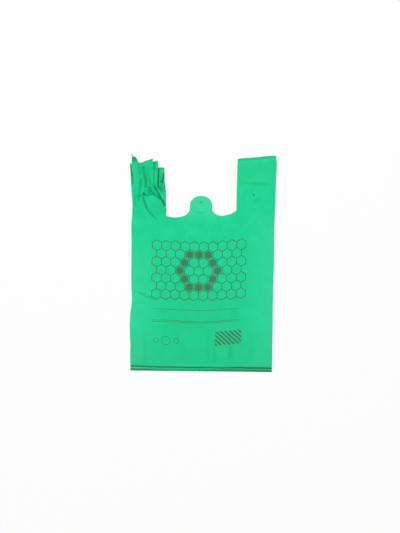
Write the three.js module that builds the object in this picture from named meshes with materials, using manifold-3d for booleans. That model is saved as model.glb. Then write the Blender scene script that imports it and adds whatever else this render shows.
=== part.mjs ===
// Non-woven carrier bag of the t-shirt shape, lying flat on its back with its left handle bunched up.
// Millimetres. +X runs across the face, +Y from the bottom edge up to the handles, +Z up from the table.
// It is made in the order of the real one: a gusseted tube, welded across both ends, then die-cut.
import * as THREE from "three";
import { mergeVertices } from "three/addons/utils/BufferGeometryUtils.js";
import Module from "manifold-3d";

const wasm = await Module();
wasm.setup();

// Tube: the face, the side gussets tucked into it, the cloth, and the lap that closes the web at the back
const FACE_WIDTH = 305;
const BAG_LENGTH = 457;
const GUSSET_DEPTH = 89;
const CLOTH = 0.3;
const PLY_GAP = 0.6;
const LAP_WIDTH = 12;

// Welds across the tube, and how far from a weld its pressed plies part again
const BOTTOM_WELD_INSET = 8;
const TOP_WELD_INSET = 4;
const WELD_WIDTH = 2.5;
const WELD_PRESS = 0.3;
const PRESS_RUN = 14;

// Die that cuts the mouth: two scallops with a round hanging tab between them
const MOUTH_WIDTH = 150;
const MOUTH_DEPTH = 119;
const SCALLOP_DEPTH = 15;
const SCALLOP_BOW = 0.3;
const SCALLOP_SWEEP = 0.65;
const TAB_RADIUS = 24;
const TAB_DROP = 81;
const TAB_NECK = 5;
const DIE_SHIFT = -5;

// Pins that hold the pack together pierce the tab and both handles
const PIN_RADIUS = 1.25;
const TAB_PIN_DROP = 96;
const HANDLE_PIN_DROP = 82;
const HANDLE_PIN_INSET = 38;

// Curved slit under the tab, where the bag tears off its pack
const SLIT_LENGTH = 20;
const SLIT_WIDTH = 0.8;
const SLIT_RADIUS = 30;
const SLIT_DROP = 119;

// Pleats of the bunched handle, from its outer fold (at 0) to its cut edge (at 1) and out into the waste.
// Each line is raised by rise and pulled down the bag by drop at the handle's top.
const PLEATS = [
  { at: 0.0, drop: 11, rise: 1 },
  { at: 0.1, drop: -3, rise: 9 },
  { at: 0.26, drop: 15, rise: 3 },
  { at: 0.62, drop: 4, rise: 11 },
  { at: 0.69, drop: 10, rise: 4 },
  { at: 0.79, drop: 8, rise: 9 },
  { at: 0.85, drop: 23, rise: 2 },
  { at: 1.0, drop: 23, rise: 6 },
  { at: 1.2, drop: 0, rise: 0 },
];

// Facets: steps round a fold, along the die's curves, over a press run and up the bunched handle
const FOLD_STEPS = 2;
const DIE_STEPS = 12;
const PRESS_STEPS = 3;
const BUNCH_STEPS = 4;

// Cloth and its colour
const CLOTH_COLOUR = 0x26d494;
const CLOTH_ROUGHNESS = 0.7;

// Heights of the four plies at a gusset, through the middle of each, from the back to the front
const PLY_PITCH = CLOTH + PLY_GAP;
const [BACK, GUSSET_BACK, GUSSET_FRONT, FRONT] = [0, 1, 2, 3].map((ply) => CLOTH / 2 + ply * PLY_PITCH);
const STACK = FRONT + CLOTH / 2;
const FOLD_RADIUS = PLY_PITCH / 2;
const OUTER_FOLD = FACE_WIDTH / 2 - FOLD_RADIUS - CLOTH / 2;
const INNER_FOLD = FACE_WIDTH / 2 - GUSSET_DEPTH + FOLD_RADIUS + CLOTH / 2;

// Middles of the two welds, up the bag
const BOTTOM_WELD = BOTTOM_WELD_INSET;
const TOP_WELD = BAG_LENGTH - TOP_WELD_INSET;

// Bunched handle, between its outer fold and its cut edge
const BUNCH_LEFT = -FACE_WIDTH / 2;
const BUNCH_RIGHT = DIE_SHIFT - MOUTH_WIDTH / 2;
const BUNCH_FOOT = BAG_LENGTH - MOUTH_DEPTH;

// Cuts run past both faces of the bunched stack, and past its ends
const OVERCUT = 10;
const PUNCH_TOP = STACK + Math.max(...PLEATS.map((pleat) => pleat.rise)) + OVERCUT;
const QUARTER = Math.PI / 2;

// Points closer together than this are one
const SAME_POINT = 1e-5;

// Closed solid from a three.js geometry
function solid(geometry) {
  geometry.deleteAttribute("normal");
  geometry.deleteAttribute("uv");
  const merged = mergeVertices(geometry, SAME_POINT);
  const vertProperties = new Float32Array(merged.attributes.position.array);
  const triVerts = new Uint32Array(merged.index.array);
  return new wasm.Manifold(new wasm.Mesh({ numProp: 3, vertProperties, triVerts }));
}

// Share of the stack's height that is left at a distance along the bag
function pressed(y) {
  const welds = [BOTTOM_WELD, TOP_WELD];
  const away = Math.min(...welds.map((weld) => Math.abs(y - weld))) - WELD_WIDTH / 2;
  return WELD_PRESS + (1 - WELD_PRESS) * THREE.MathUtils.smoothstep(away, 0, PRESS_RUN);
}

// Place across the bag of a share of the bunched handle's width
function bunchLine(share) {
  return THREE.MathUtils.lerp(BUNCH_LEFT, BUNCH_RIGHT, share);
}

// Drop and rise of the bunched top edge at a place across the bag
function pleatAt(x) {
  const after = PLEATS.findIndex((pleat) => bunchLine(pleat.at) >= x);
  if (after < 1) {
    return after === 0 ? PLEATS[0] : PLEATS.at(-1);
  }
  const [near, far] = [PLEATS[after - 1], PLEATS[after]];
  const part = THREE.MathUtils.inverseLerp(bunchLine(near.at), bunchLine(far.at), x);
  const mix = (name) => THREE.MathUtils.lerp(near[name], far[name], part);
  return { drop: mix("drop"), rise: mix("rise") };
}

// Place of a point of the flat bag once its welds are pressed and its left handle is bunched
function settle(x, y, z) {
  const lift = THREE.MathUtils.smoothstep(y, BUNCH_FOOT, BAG_LENGTH);
  const { drop, rise } = pleatAt(x);
  return new THREE.Vector3(x, y - drop * lift, z * pressed(y) + rise * lift);
}

// Line across the bag with a point wherever it crosses one of the pleat lines
function creased(line) {
  const folds = PLEATS.map((pleat) => bunchLine(pleat.at));
  return line.flatMap((point, place) => {
    const next = line[place + 1] ?? point;
    const crossed = folds.map((fold) => (fold - point.x) / (next.x - point.x));
    const parts = crossed.filter((part) => part > 0 && part < 1).sort((one, other) => one - other);
    return [point, ...parts.map((part) => point.clone().lerp(next, part))];
  });
}

// Cloth between two lines across the bag, its outer face and its inner face, lofted along the bag through
// a list of stations, as the bag lies. Lines that end where they start make a tube, others make a band.
function loft(outerLine, innerLine, stations) {
  const lines = [creased(outerLine), creased(innerLine)];
  const count = lines[0].length;
  const points = stations.flatMap((y) => lines.flatMap((line) => line.map(({ x, y: z }) => settle(x, y, z))));
  const corner = (station, side, place) => (2 * station + side) * count + place;
  const faces = [];
  const quad = (a, b, c, d) => faces.push(a, b, c, a, c, d);
  for (let place = 1; place < count; place += 1) {
    for (let station = 1; station < stations.length; station += 1) {
      for (const side of [0, 1]) {
        const [a, b] = [corner(station - 1, side, place - 1), corner(station - 1, side, place)];
        const [d, c] = [corner(station, side, place - 1), corner(station, side, place)];
        const rightward = lines[side][place].x > lines[side][place - 1].x;
        const turned = rightward ? [a, d, c, b] : [b, a, d, c];
        quad(...(side === 0 ? turned : [turned[0], turned[3], turned[2], turned[1]]));
      }
    }
    const ends = [0, stations.length - 1].map((station) => [
      corner(station, 0, place - 1),
      corner(station, 0, place),
      corner(station, 1, place),
      corner(station, 1, place - 1),
    ]);
    quad(...ends[0]);
    quad(...ends[1].reverse());
  }
  if (!outerLine[0].equals(outerLine.at(-1))) {
    for (let station = 1; station < stations.length; station += 1) {
      const sides = [0, count - 1].map((place) => [
        corner(station - 1, 0, place),
        corner(station - 1, 1, place),
        corner(station, 1, place),
        corner(station, 0, place),
      ]);
      quad(...sides[0]);
      quad(...sides[1].reverse());
    }
  }
  const geometry = new THREE.BufferGeometry().setFromPoints(points);
  geometry.setIndex(faces);
  return solid(geometry);
}

// Lines across the bag where the cloth bends: at the welds, over their press runs and up the handles
function bendLines() {
  const lines = [0, BAG_LENGTH, BUNCH_FOOT];
  for (let step = 0; step <= PRESS_STEPS; step += 1) {
    const run = WELD_WIDTH / 2 + (PRESS_RUN * step) / PRESS_STEPS;
    lines.push(BOTTOM_WELD + run, TOP_WELD - run);
  }
  for (let step = 1; step < BUNCH_STEPS; step += 1) {
    lines.push(BUNCH_FOOT + (MOUTH_DEPTH * step) / BUNCH_STEPS);
  }
  lines.push(BOTTOM_WELD - WELD_WIDTH / 2, TOP_WELD + WELD_WIDTH / 2);
  return lines.sort((a, b) => a - b);
}

// Section of the flattened tube along the cloth's outer face (side 1) or its inner face (side -1)
function tubeLine(side) {
  const skin = (side * CLOTH) / 2;
  const outer = FOLD_RADIUS + skin;
  const inner = FOLD_RADIUS - skin;
  const low = (BACK + GUSSET_BACK) / 2;
  const middle = (GUSSET_BACK + GUSSET_FRONT) / 2;
  const high = (GUSSET_FRONT + FRONT) / 2;
  const line = new THREE.Path();
  line.absarc(OUTER_FOLD, low, outer, -QUARTER, QUARTER, false);
  line.absarc(INNER_FOLD, middle, inner, 3 * QUARTER, QUARTER, true);
  line.absarc(OUTER_FOLD, high, outer, -QUARTER, QUARTER, false);
  line.absarc(-OUTER_FOLD, high, outer, QUARTER, 3 * QUARTER, false);
  line.absarc(-INNER_FOLD, middle, inner, QUARTER, -QUARTER, true);
  line.absarc(-OUTER_FOLD, low, outer, QUARTER, 3 * QUARTER, false);
  const points = line.getPoints(FOLD_STEPS);
  return [...points, points[0].clone()];
}

// Flat line between two places across the bag
function flatLine(left, right, height) {
  return [left, right].map((x) => new THREE.Vector2(x, height));
}

// Gusseted tube of one ply all round, open at both ends
function tube() {
  return loft(tubeLine(1), tubeLine(-1), bendLines());
}

// Second ply of the lap that closes the web, on the inside of the back
function backLap() {
  const [left, right] = [-LAP_WIDTH / 2, LAP_WIDTH / 2];
  return loft(flatLine(left, right, BACK), flatLine(left, right, BACK + CLOTH), bendLines());
}

// Fused band that joins all the plies across the tube
function crossWeld(place) {
  const [left, right] = [-OUTER_FOLD, OUTER_FOLD];
  const edges = [place - WELD_WIDTH / 2, place + WELD_WIDTH / 2];
  return loft(flatLine(left, right, BACK), flatLine(left, right, FRONT), edges);
}

// Waste between the handles, which leaves the round tab standing
function mouthOutline() {
  const edge = MOUTH_WIDTH / 2;
  const tabCentre = BAG_LENGTH - TAB_DROP - TAB_RADIUS;
  const neck = tabCentre - TAB_NECK;
  const bow = edge - SCALLOP_BOW * (edge - TAB_RADIUS);
  const trough = BUNCH_FOOT - SCALLOP_DEPTH;
  const sweep = BUNCH_FOOT - SCALLOP_SWEEP * SCALLOP_DEPTH;
  const outline = new THREE.Shape();
  outline.moveTo(edge, BAG_LENGTH + OVERCUT);
  outline.lineTo(-edge, BAG_LENGTH + OVERCUT);
  outline.lineTo(-edge, BUNCH_FOOT);
  outline.bezierCurveTo(-bow, trough, -TAB_RADIUS, sweep, -TAB_RADIUS, neck);
  outline.absarc(0, tabCentre, TAB_RADIUS, 2 * QUARTER, 0, true);
  outline.lineTo(TAB_RADIUS, neck);
  outline.bezierCurveTo(TAB_RADIUS, sweep, bow, trough, edge, BUNCH_FOOT);
  return outline;
}

// Round hole left by a pin, where the cloth that it went through now lies
function pinOutline(x, drop) {
  const place = settle(x, BAG_LENGTH - drop, 0);
  return new THREE.Shape().absarc(place.x, place.y, PIN_RADIUS, 0, 4 * QUARTER, false);
}

// Curved slot, hollow towards the tab
function slitOutline() {
  const spread = SLIT_LENGTH / SLIT_RADIUS / 2;
  const centre = BAG_LENGTH - SLIT_DROP + SLIT_RADIUS;
  const [outer, inner] = [SLIT_RADIUS + SLIT_WIDTH / 2, SLIT_RADIUS - SLIT_WIDTH / 2];
  const outline = new THREE.Shape();
  outline.absarc(DIE_SHIFT, centre, outer, -QUARTER - spread, -QUARTER + spread, false);
  outline.absarc(DIE_SHIFT, centre, inner, -QUARTER + spread, -QUARTER - spread, true);
  return outline;
}

// Flat outline as a punch that goes through the whole stack
function punch(outline) {
  const options = { depth: PUNCH_TOP + OVERCUT, bevelEnabled: false, curveSegments: DIE_STEPS };
  return solid(new THREE.ExtrudeGeometry(outline, options).translate(0, 0, -OVERCUT));
}

// Bag as it lies: the tube and its welds, less all that the die takes out
function bagSolid() {
  const blank = tube().add(backLap()).add(crossWeld(BOTTOM_WELD)).add(crossWeld(TOP_WELD));
  const handlePin = MOUTH_WIDTH / 2 + HANDLE_PIN_INSET;
  const cuts = [
    punch(mouthOutline()).translate([DIE_SHIFT, 0, 0]),
    punch(pinOutline(DIE_SHIFT, TAB_PIN_DROP)),
    punch(pinOutline(DIE_SHIFT - handlePin, HANDLE_PIN_DROP)),
    punch(pinOutline(DIE_SHIFT + handlePin, HANDLE_PIN_DROP)),
    punch(slitOutline()),
  ];
  return cuts.reduce((bag, cut) => bag.subtract(cut), blank);
}

// Geometry of a solid, with its origin on the table under the middle of its box
function standing(body) {
  const { vertProperties, triVerts } = body.getMesh();
  const geometry = new THREE.BufferGeometry();
  geometry.setAttribute("position", new THREE.BufferAttribute(vertProperties, 3));
  geometry.setIndex(new THREE.BufferAttribute(triVerts, 1));
  geometry.computeBoundingBox();
  const middle = geometry.boundingBox.getCenter(new THREE.Vector3());
  geometry.translate(-middle.x, -middle.y, -geometry.boundingBox.min.z);
  geometry.computeVertexNormals();
  return geometry;
}

const cloth = new THREE.MeshStandardMaterial({
  color: CLOTH_COLOUR,
  roughness: CLOTH_ROUGHNESS,
  metalness: 0,
});
const bag = new THREE.Mesh(standing(bagSolid()), cloth);
bag.name = "tshirt_bag";

const carrierBag = new THREE.Group();
carrierBag.add(bag);

export default carrierBag;
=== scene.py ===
"""Non-woven carrier bag of the t-shirt shape, lying flat on its back with its left handle bunched up.

The cloth is laid out as one flat web, cut by the die, meshed, and then folded up the way the bag is made.
Lengths in the classes are millimetres of the flat bag: x across the face, y up from the bottom edge.
"""
import logging
import math
from dataclasses import dataclass, field
from enum import Enum

import bpy
import numpy as np
from mathutils.geometry import delaunay_2d_cdt
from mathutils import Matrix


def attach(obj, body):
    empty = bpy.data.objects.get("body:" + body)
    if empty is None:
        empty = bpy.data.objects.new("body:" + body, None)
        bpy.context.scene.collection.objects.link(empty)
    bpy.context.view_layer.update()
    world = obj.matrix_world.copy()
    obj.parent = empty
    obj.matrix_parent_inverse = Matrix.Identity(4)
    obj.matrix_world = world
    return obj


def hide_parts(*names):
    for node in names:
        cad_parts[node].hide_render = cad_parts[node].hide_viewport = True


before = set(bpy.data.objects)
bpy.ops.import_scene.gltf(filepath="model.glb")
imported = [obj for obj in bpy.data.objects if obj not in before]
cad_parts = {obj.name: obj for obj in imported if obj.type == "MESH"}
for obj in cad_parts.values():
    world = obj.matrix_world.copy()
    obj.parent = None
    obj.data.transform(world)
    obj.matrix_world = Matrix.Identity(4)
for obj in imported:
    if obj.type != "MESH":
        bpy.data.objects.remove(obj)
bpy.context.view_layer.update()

log = logging.getLogger("bag")
Array = np.ndarray
Point = tuple[float, float]
Triple = tuple[float, float, float]
Box = tuple[float, float, float, float]
Colour = tuple[float, float, float, float]
Socket = bpy.types.NodeSocket

MM = 0.001
SMALL = 1e-6
FRAME_BACK = 230.0
PATTERN_BACK = 500.0
CELLS_BACK = 200.0
TOP_LEVEL = 3.0
MIDDLE_LEVEL = 1.5


class Ply(Enum):
    """Ply of the flattened tube, by its place in the stack from the table up."""

    BACK = 0
    GUSSET_BACK = 1
    GUSSET_FRONT = 2
    FRONT = 3


class Mark(Enum):
    """How a crease shows: a soft trough, or a drop on the left of the line that fades with distance."""

    TROUGH = "trough"
    STEP = "step"


def ease(value: Array, low: float, high: float) -> Array:
    """Smooth ramp.

    Args:
        value: Where to read the ramp.
        low: Where it leaves 0.
        high: Where it reaches 1.

    Returns:
        The ramp at each value.
    """
    part = np.clip((value - low) / (high - low), 0.0, 1.0)
    return part * part * (3.0 - 2.0 * part)


def eased_line(value: Array, nodes: tuple[Point, ...]) -> Array:
    """Curve that runs level through each of its nodes.

    Args:
        value: Where to read the curve.
        nodes: Places and heights, in order.

    Returns:
        The height at each value.
    """
    height = np.full(np.shape(value), nodes[0][1])
    for (near, start), (far, end) in zip(nodes, nodes[1:]):
        height = height + (end - start) * ease(value, near, far)
    return height


def spaced(points: list[Point], step: float) -> list[Point]:
    """Line with points added, so that none are further apart than a step.

    Args:
        points: Corners of the line.
        step: Longest gap to leave.

    Returns:
        The corners and the added points, in order.
    """
    line = [points[0]]
    for (x0, y0), (x1, y1) in zip(points, points[1:]):
        count = max(1, math.ceil(math.hypot(x1 - x0, y1 - y0) / step))
        line += [(x0 + (x1 - x0) * i / count, y0 + (y1 - y0) * i / count) for i in range(1, count + 1)]
    return line


def ring_point(centre: Point, radius: float, angle: float) -> Point:
    """Point of a circle, at an angle from the right."""
    return centre[0] + radius * math.cos(angle), centre[1] + radius * math.sin(angle)


@dataclass(frozen=True)
class Stroke:
    """Smooth line on the handle as seen from above, in millimetres from its outer foot."""

    points: tuple[Point, ...]
    rounds: int = 3
    corner: float = 0.25

    def line(self) -> Array:
        """Rounds the line by cutting off its corners a few times.

        Returns:
            Its points, in two columns.
        """
        points = np.array(self.points, dtype=float)
        for _ in range(self.rounds):
            near = points[:-1] * (1.0 - self.corner) + points[1:] * self.corner
            far = points[:-1] * self.corner + points[1:] * (1.0 - self.corner)
            inner = np.stack([near, far], axis=1).reshape(-1, 2)
            points = np.vstack([points[:1], inner, points[-1:]])
        return points

    def near(self, across: Array, along: Array) -> tuple[Array, Array, Array, Array]:
        """Place of points beside the line.

        Args:
            across: Points' places across the handle.
            along: Points' places up the handle.

        Returns:
            Distance to the left of the line, share of its length, and its direction across and along.
        """
        points = self.line()
        start, run = points[:-1], np.diff(points, axis=0)
        length = np.hypot(run[:, 0], run[:, 1])
        way = run / length[:, None]
        knots = np.vstack([way[:1], way[:-1] + way[1:], way[-1:]])
        knots = knots / np.hypot(knots[:, 0], knots[:, 1])[:, None]
        dx = across[:, None] - start[None, :, 0]
        dy = along[:, None] - start[None, :, 1]
        part = np.clip((dx * way[:, 0] + dy * way[:, 1]) / length, 0.0, 1.0)
        gap_x = dx - part * run[:, 0]
        gap_y = dy - part * run[:, 1]
        gap = gap_x**2 + gap_y**2
        pick = np.argmin(gap, axis=1)
        rows = np.arange(len(across))
        side = way[pick, 0] * dy[rows, pick] - way[pick, 1] * dx[rows, pick]
        share = part[rows, pick]
        turn = knots[pick] * (1.0 - share)[:, None] + knots[pick + 1] * share[:, None]
        turn = turn / np.hypot(turn[:, 0], turn[:, 1])[:, None]
        travelled = np.concatenate([[0.0], np.cumsum(length)])
        place = (travelled[pick] + share * length[pick]) / travelled[-1]
        return np.copysign(np.sqrt(gap[rows, pick]), side), place, turn[:, 0], turn[:, 1]


@dataclass(frozen=True)
class Tuck:
    """Fold like a Z: the cloth turns back under a lip and comes out again, drawn back by a pull.

    The turns are shares of the fold's cloth: where the lip ends, the strip under it, and the second turn.
    """

    lip: Stroke
    pull: Point
    radius: float
    height: float
    reach: float
    past: float = 4.0
    carried: Point = (0.0, 0.0)
    turns: Triple = (0.25, 0.35, 0.6)
    hidden_share: float = 0.45
    slide_span: Point = (0.28, 0.9)

    def taken(self, way_x: Array, way_y: Array) -> tuple[Array, Array]:
        """Widths of the flat cloth in the fold and of the strip under its lip, by the lip's direction."""
        drawn = np.maximum(self.pull[0] * way_y - self.pull[1] * way_x, 0.0)
        return self.past + drawn, self.radius + self.hidden_share * drawn

    def lay(self, across: Array, along: Array) -> tuple[Array, Array, Array, Array]:
        """Folds points of the handle.

        Args:
            across: Points' places across the handle.
            along: Points' places up the handle.

        Returns:
            Folded places across and along, how far each point is lifted, and its distance outside the fold.
        """
        gap, _, way_x, way_y = self.lip.near(across, along)
        width, hidden = self.taken(way_x, way_y)
        lip, under, turn = self.turns
        share = np.clip(gap / width, 0.0, 1.0)
        angle = math.pi * np.clip(share / lip, 0.0, 1.0)
        back = np.clip((share - lip) / (under - lip), 0.0, 1.0)
        turned = math.pi * np.clip((share - under) / (turn - under), 0.0, 1.0)
        out = np.clip((share - turn) / (1.0 - turn), 0.0, 1.0)
        folded = self.radius * (np.sin(angle) - np.sin(turned)) - hidden * back + (hidden + self.past) * out
        laid = np.select([gap < 0.0, gap < width], [gap, folded], gap - width + self.past)
        stay = (2.0 + np.cos(angle) + np.cos(turned)) / 4.0
        slide = (self.pull[0] * way_x + self.pull[1] * way_y) * ease(share, *self.slide_span)
        lift = self.height * np.exp(np.minimum(laid, 0.0) / self.reach) * stay
        new_x = across - way_y * (laid - gap) + way_x * slide
        new_y = along + way_x * (laid - gap) + way_y * slide
        return new_x, new_y, lift, np.maximum(-gap, gap - width)


@dataclass(frozen=True)
class Crease:
    """Line where the cloth is pressed down, with painted shade along it, or a painted highlight where that
    shade is negative.
    """

    points: tuple[Point, ...]
    depth: float
    width: float
    painted_shade: float = 0.0
    fade: Point = (0.15, 0.15)
    mark: Mark = Mark.TROUGH
    reach: float = 12.0

    def press(self, across: Array, along: Array) -> tuple[Array, Array]:
        """Effect of the crease.

        Args:
            across: Points' places across the handle.
            along: Points' places up the handle.

        Returns:
            How far it lowers the cloth, and its painted shade, which is a painted highlight where negative.
        """
        gap, place, _, _ = Stroke(self.points).near(across, along)
        first, last = (max(part, SMALL) for part in self.fade)
        ends = ease(place, 0.0, first) * ease(1.0 - place, 0.0, last)
        dip = ends * np.exp(-((gap / self.width) ** 2))
        if self.mark is Mark.TROUGH:
            return self.depth * dip, self.painted_shade * dip
        side = 0.5 * (1.0 + np.tanh(gap / self.width)) * np.exp(-np.maximum(gap, 0.0) / self.reach)
        return self.depth * ends * side, self.painted_shade * dip


@dataclass(frozen=True)
class Die:
    """Cutter that shapes the mouth, its hanging tab, the pin holes and the tear-off slit."""

    half_face: float = 151.9
    length: float = 457.0
    shift: float = -5.0
    half_mouth: float = 75.0
    foot: float = 338.0
    left_foot: float = 333.4
    left_scallop: tuple[Point, ...] = ((60.0, 327.8), (24.0, 324.4), (24.0, 347.0))
    right_scallop: tuple[Point, ...] = ((59.7, 323.0), (24.0, 328.25), (24.0, 347.0))
    tab_radius: float = 24.0
    tab_centre: float = 352.0
    pin_radius: float = 1.25
    pin_share: float = 0.97
    pins: tuple[Point, ...] = ((-5.0, 361.0), (-118.0, 375.0), (107.4, 372.5))
    slit_radius: float = 30.0
    slit_centre: float = 368.0
    slit_half_width: float = 0.1
    slit_half_angle: float = 1.0 / 3.0
    slit_clear: float = 1.1
    slit_reach: float = 12.0
    slips: tuple[Point, ...] = ((2.4, -1.7), (-2.2, 1.9), (1.9, 2.2), (0.0, 0.0))
    curve_steps: int = 24
    arc_steps: int = 32
    slit_steps: int = 16
    pin_steps: int = 14
    edge_steps: Triple = (0.25, 1.8, 3.0)

    def spots(self, ply: Ply) -> list[Point]:
        """Middles of the pin holes in a ply, which has slid a little on the others."""
        slip = self.slips[ply.value]
        return [(x + slip[0], y + slip[1]) for x, y in self.pins]

    def scallop_side(self, side: int) -> list[Point]:
        """One scallop from a handle's foot to the tab.

        Args:
            side: -1 for the left scallop, 1 for the right one.

        Returns:
            Points of the curve.
        """
        foot, curve = (self.left_foot, self.left_scallop) if side < 0 else (self.foot, self.right_scallop)
        knots = ((self.half_mouth, foot), *curve)
        line = []
        for step in range(self.curve_steps + 1):
            part = step / self.curve_steps
            weights = ((1 - part) ** 3, 3 * part * (1 - part) ** 2, 3 * part**2 * (1 - part), part**3)
            x = sum(weight * knot[0] for weight, knot in zip(weights, knots))
            y = sum(weight * knot[1] for weight, knot in zip(weights, knots))
            line.append((self.shift + side * x, y))
        return line

    def top_line(self) -> list[Point]:
        """Makes the bag's upper outline.

        Returns:
            Its points, from the left fold to the right fold.
        """
        left, right = self.shift - self.half_mouth, self.shift + self.half_mouth
        bunched, inner, flat = self.edge_steps
        turn = [math.pi * i / self.arc_steps for i in range(self.arc_steps + 1)]
        middle = (self.shift, self.tab_centre)
        return (
            spaced([(-self.half_face, self.length), (left, self.length)], bunched)
            + spaced([(left, self.length), (left, self.left_foot)], inner)[1:]
            + self.scallop_side(-1)[1:]
            + [ring_point(middle, self.tab_radius, math.pi - angle) for angle in turn]
            + self.scallop_side(1)[::-1]
            + spaced([(right, self.foot), (right, self.length), (self.half_face, self.length)], flat)[1:]
        )

    def slit_line(self, low: float, high: float, slip: float) -> tuple[list[Point], list[Point]]:
        """Slit between two places across the bag.

        Args:
            low: Left limit.
            high: Right limit.
            slip: How far the ply has slid up the bag.

        Returns:
            Its lower edge and its upper edge, both from left to right.
        """
        edges = []
        centre = (self.shift, slip + self.slit_centre)
        half = self.slit_steps / 2
        angles = [self.slit_half_angle * (i / half - 1.0) for i in range(self.slit_steps + 1)]
        for radius in (self.slit_radius + self.slit_half_width, self.slit_radius - self.slit_half_width):
            line = [ring_point(centre, radius, angle - math.pi / 2) for angle in angles]
            inside = [point for point in line if low < point[0] < high]
            for limit, place in ((low, 0), (high, len(inside) + 1)):
                if line[0][0] < limit < line[-1][0]:
                    depth = math.sqrt(radius**2 - (limit - self.shift) ** 2)
                    inside.insert(place, (limit, slip + self.slit_centre - depth))
            edges.append(inside)
        return edges[0], edges[1]

    def in_slit(self, x: Array, y: Array) -> Array:
        """Tells which points lie in the slit.

        Args:
            x: Places across the bag.
            y: Places up the bag.

        Returns:
            True for each point that the slit takes out.
        """
        away = np.hypot(x - self.shift, y - self.slit_centre)
        angle = np.arctan2(x - self.shift, self.slit_centre - y)
        on_curve = np.abs(away - self.slit_radius) < self.slit_half_width
        return on_curve & (np.abs(angle) < self.slit_half_angle)

    def near_slit(self, x: Array, y: Array) -> Array:
        """Tells which points lie too near the slit to be points of the mesh.

        Args:
            x: Places across the bag.
            y: Places up the bag.

        Returns:
            True for each point near the slit.
        """
        away = np.abs(np.hypot(x - self.shift, y - self.slit_centre) - self.slit_radius)
        beside = (np.abs(x - self.shift) < self.slit_reach) & (y < self.slit_centre)
        return beside & (away <= self.slit_clear)


@dataclass(frozen=True)
class Run:
    """Flat stretch of the web between two folds."""

    ply: Ply
    start: float
    x0: float
    x1: float
    step: float

    @property
    def end(self) -> float:
        """Place along the web where the stretch ends."""
        return self.start + abs(self.x1 - self.x0)

    @property
    def way(self) -> float:
        """1 where the web runs to the right, -1 where it runs to the left."""
        return math.copysign(1.0, self.x1 - self.x0)

    def along_web(self, x: float) -> float:
        """Place along the web of a place across the bag."""
        return self.start + abs(x - self.x0)


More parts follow.
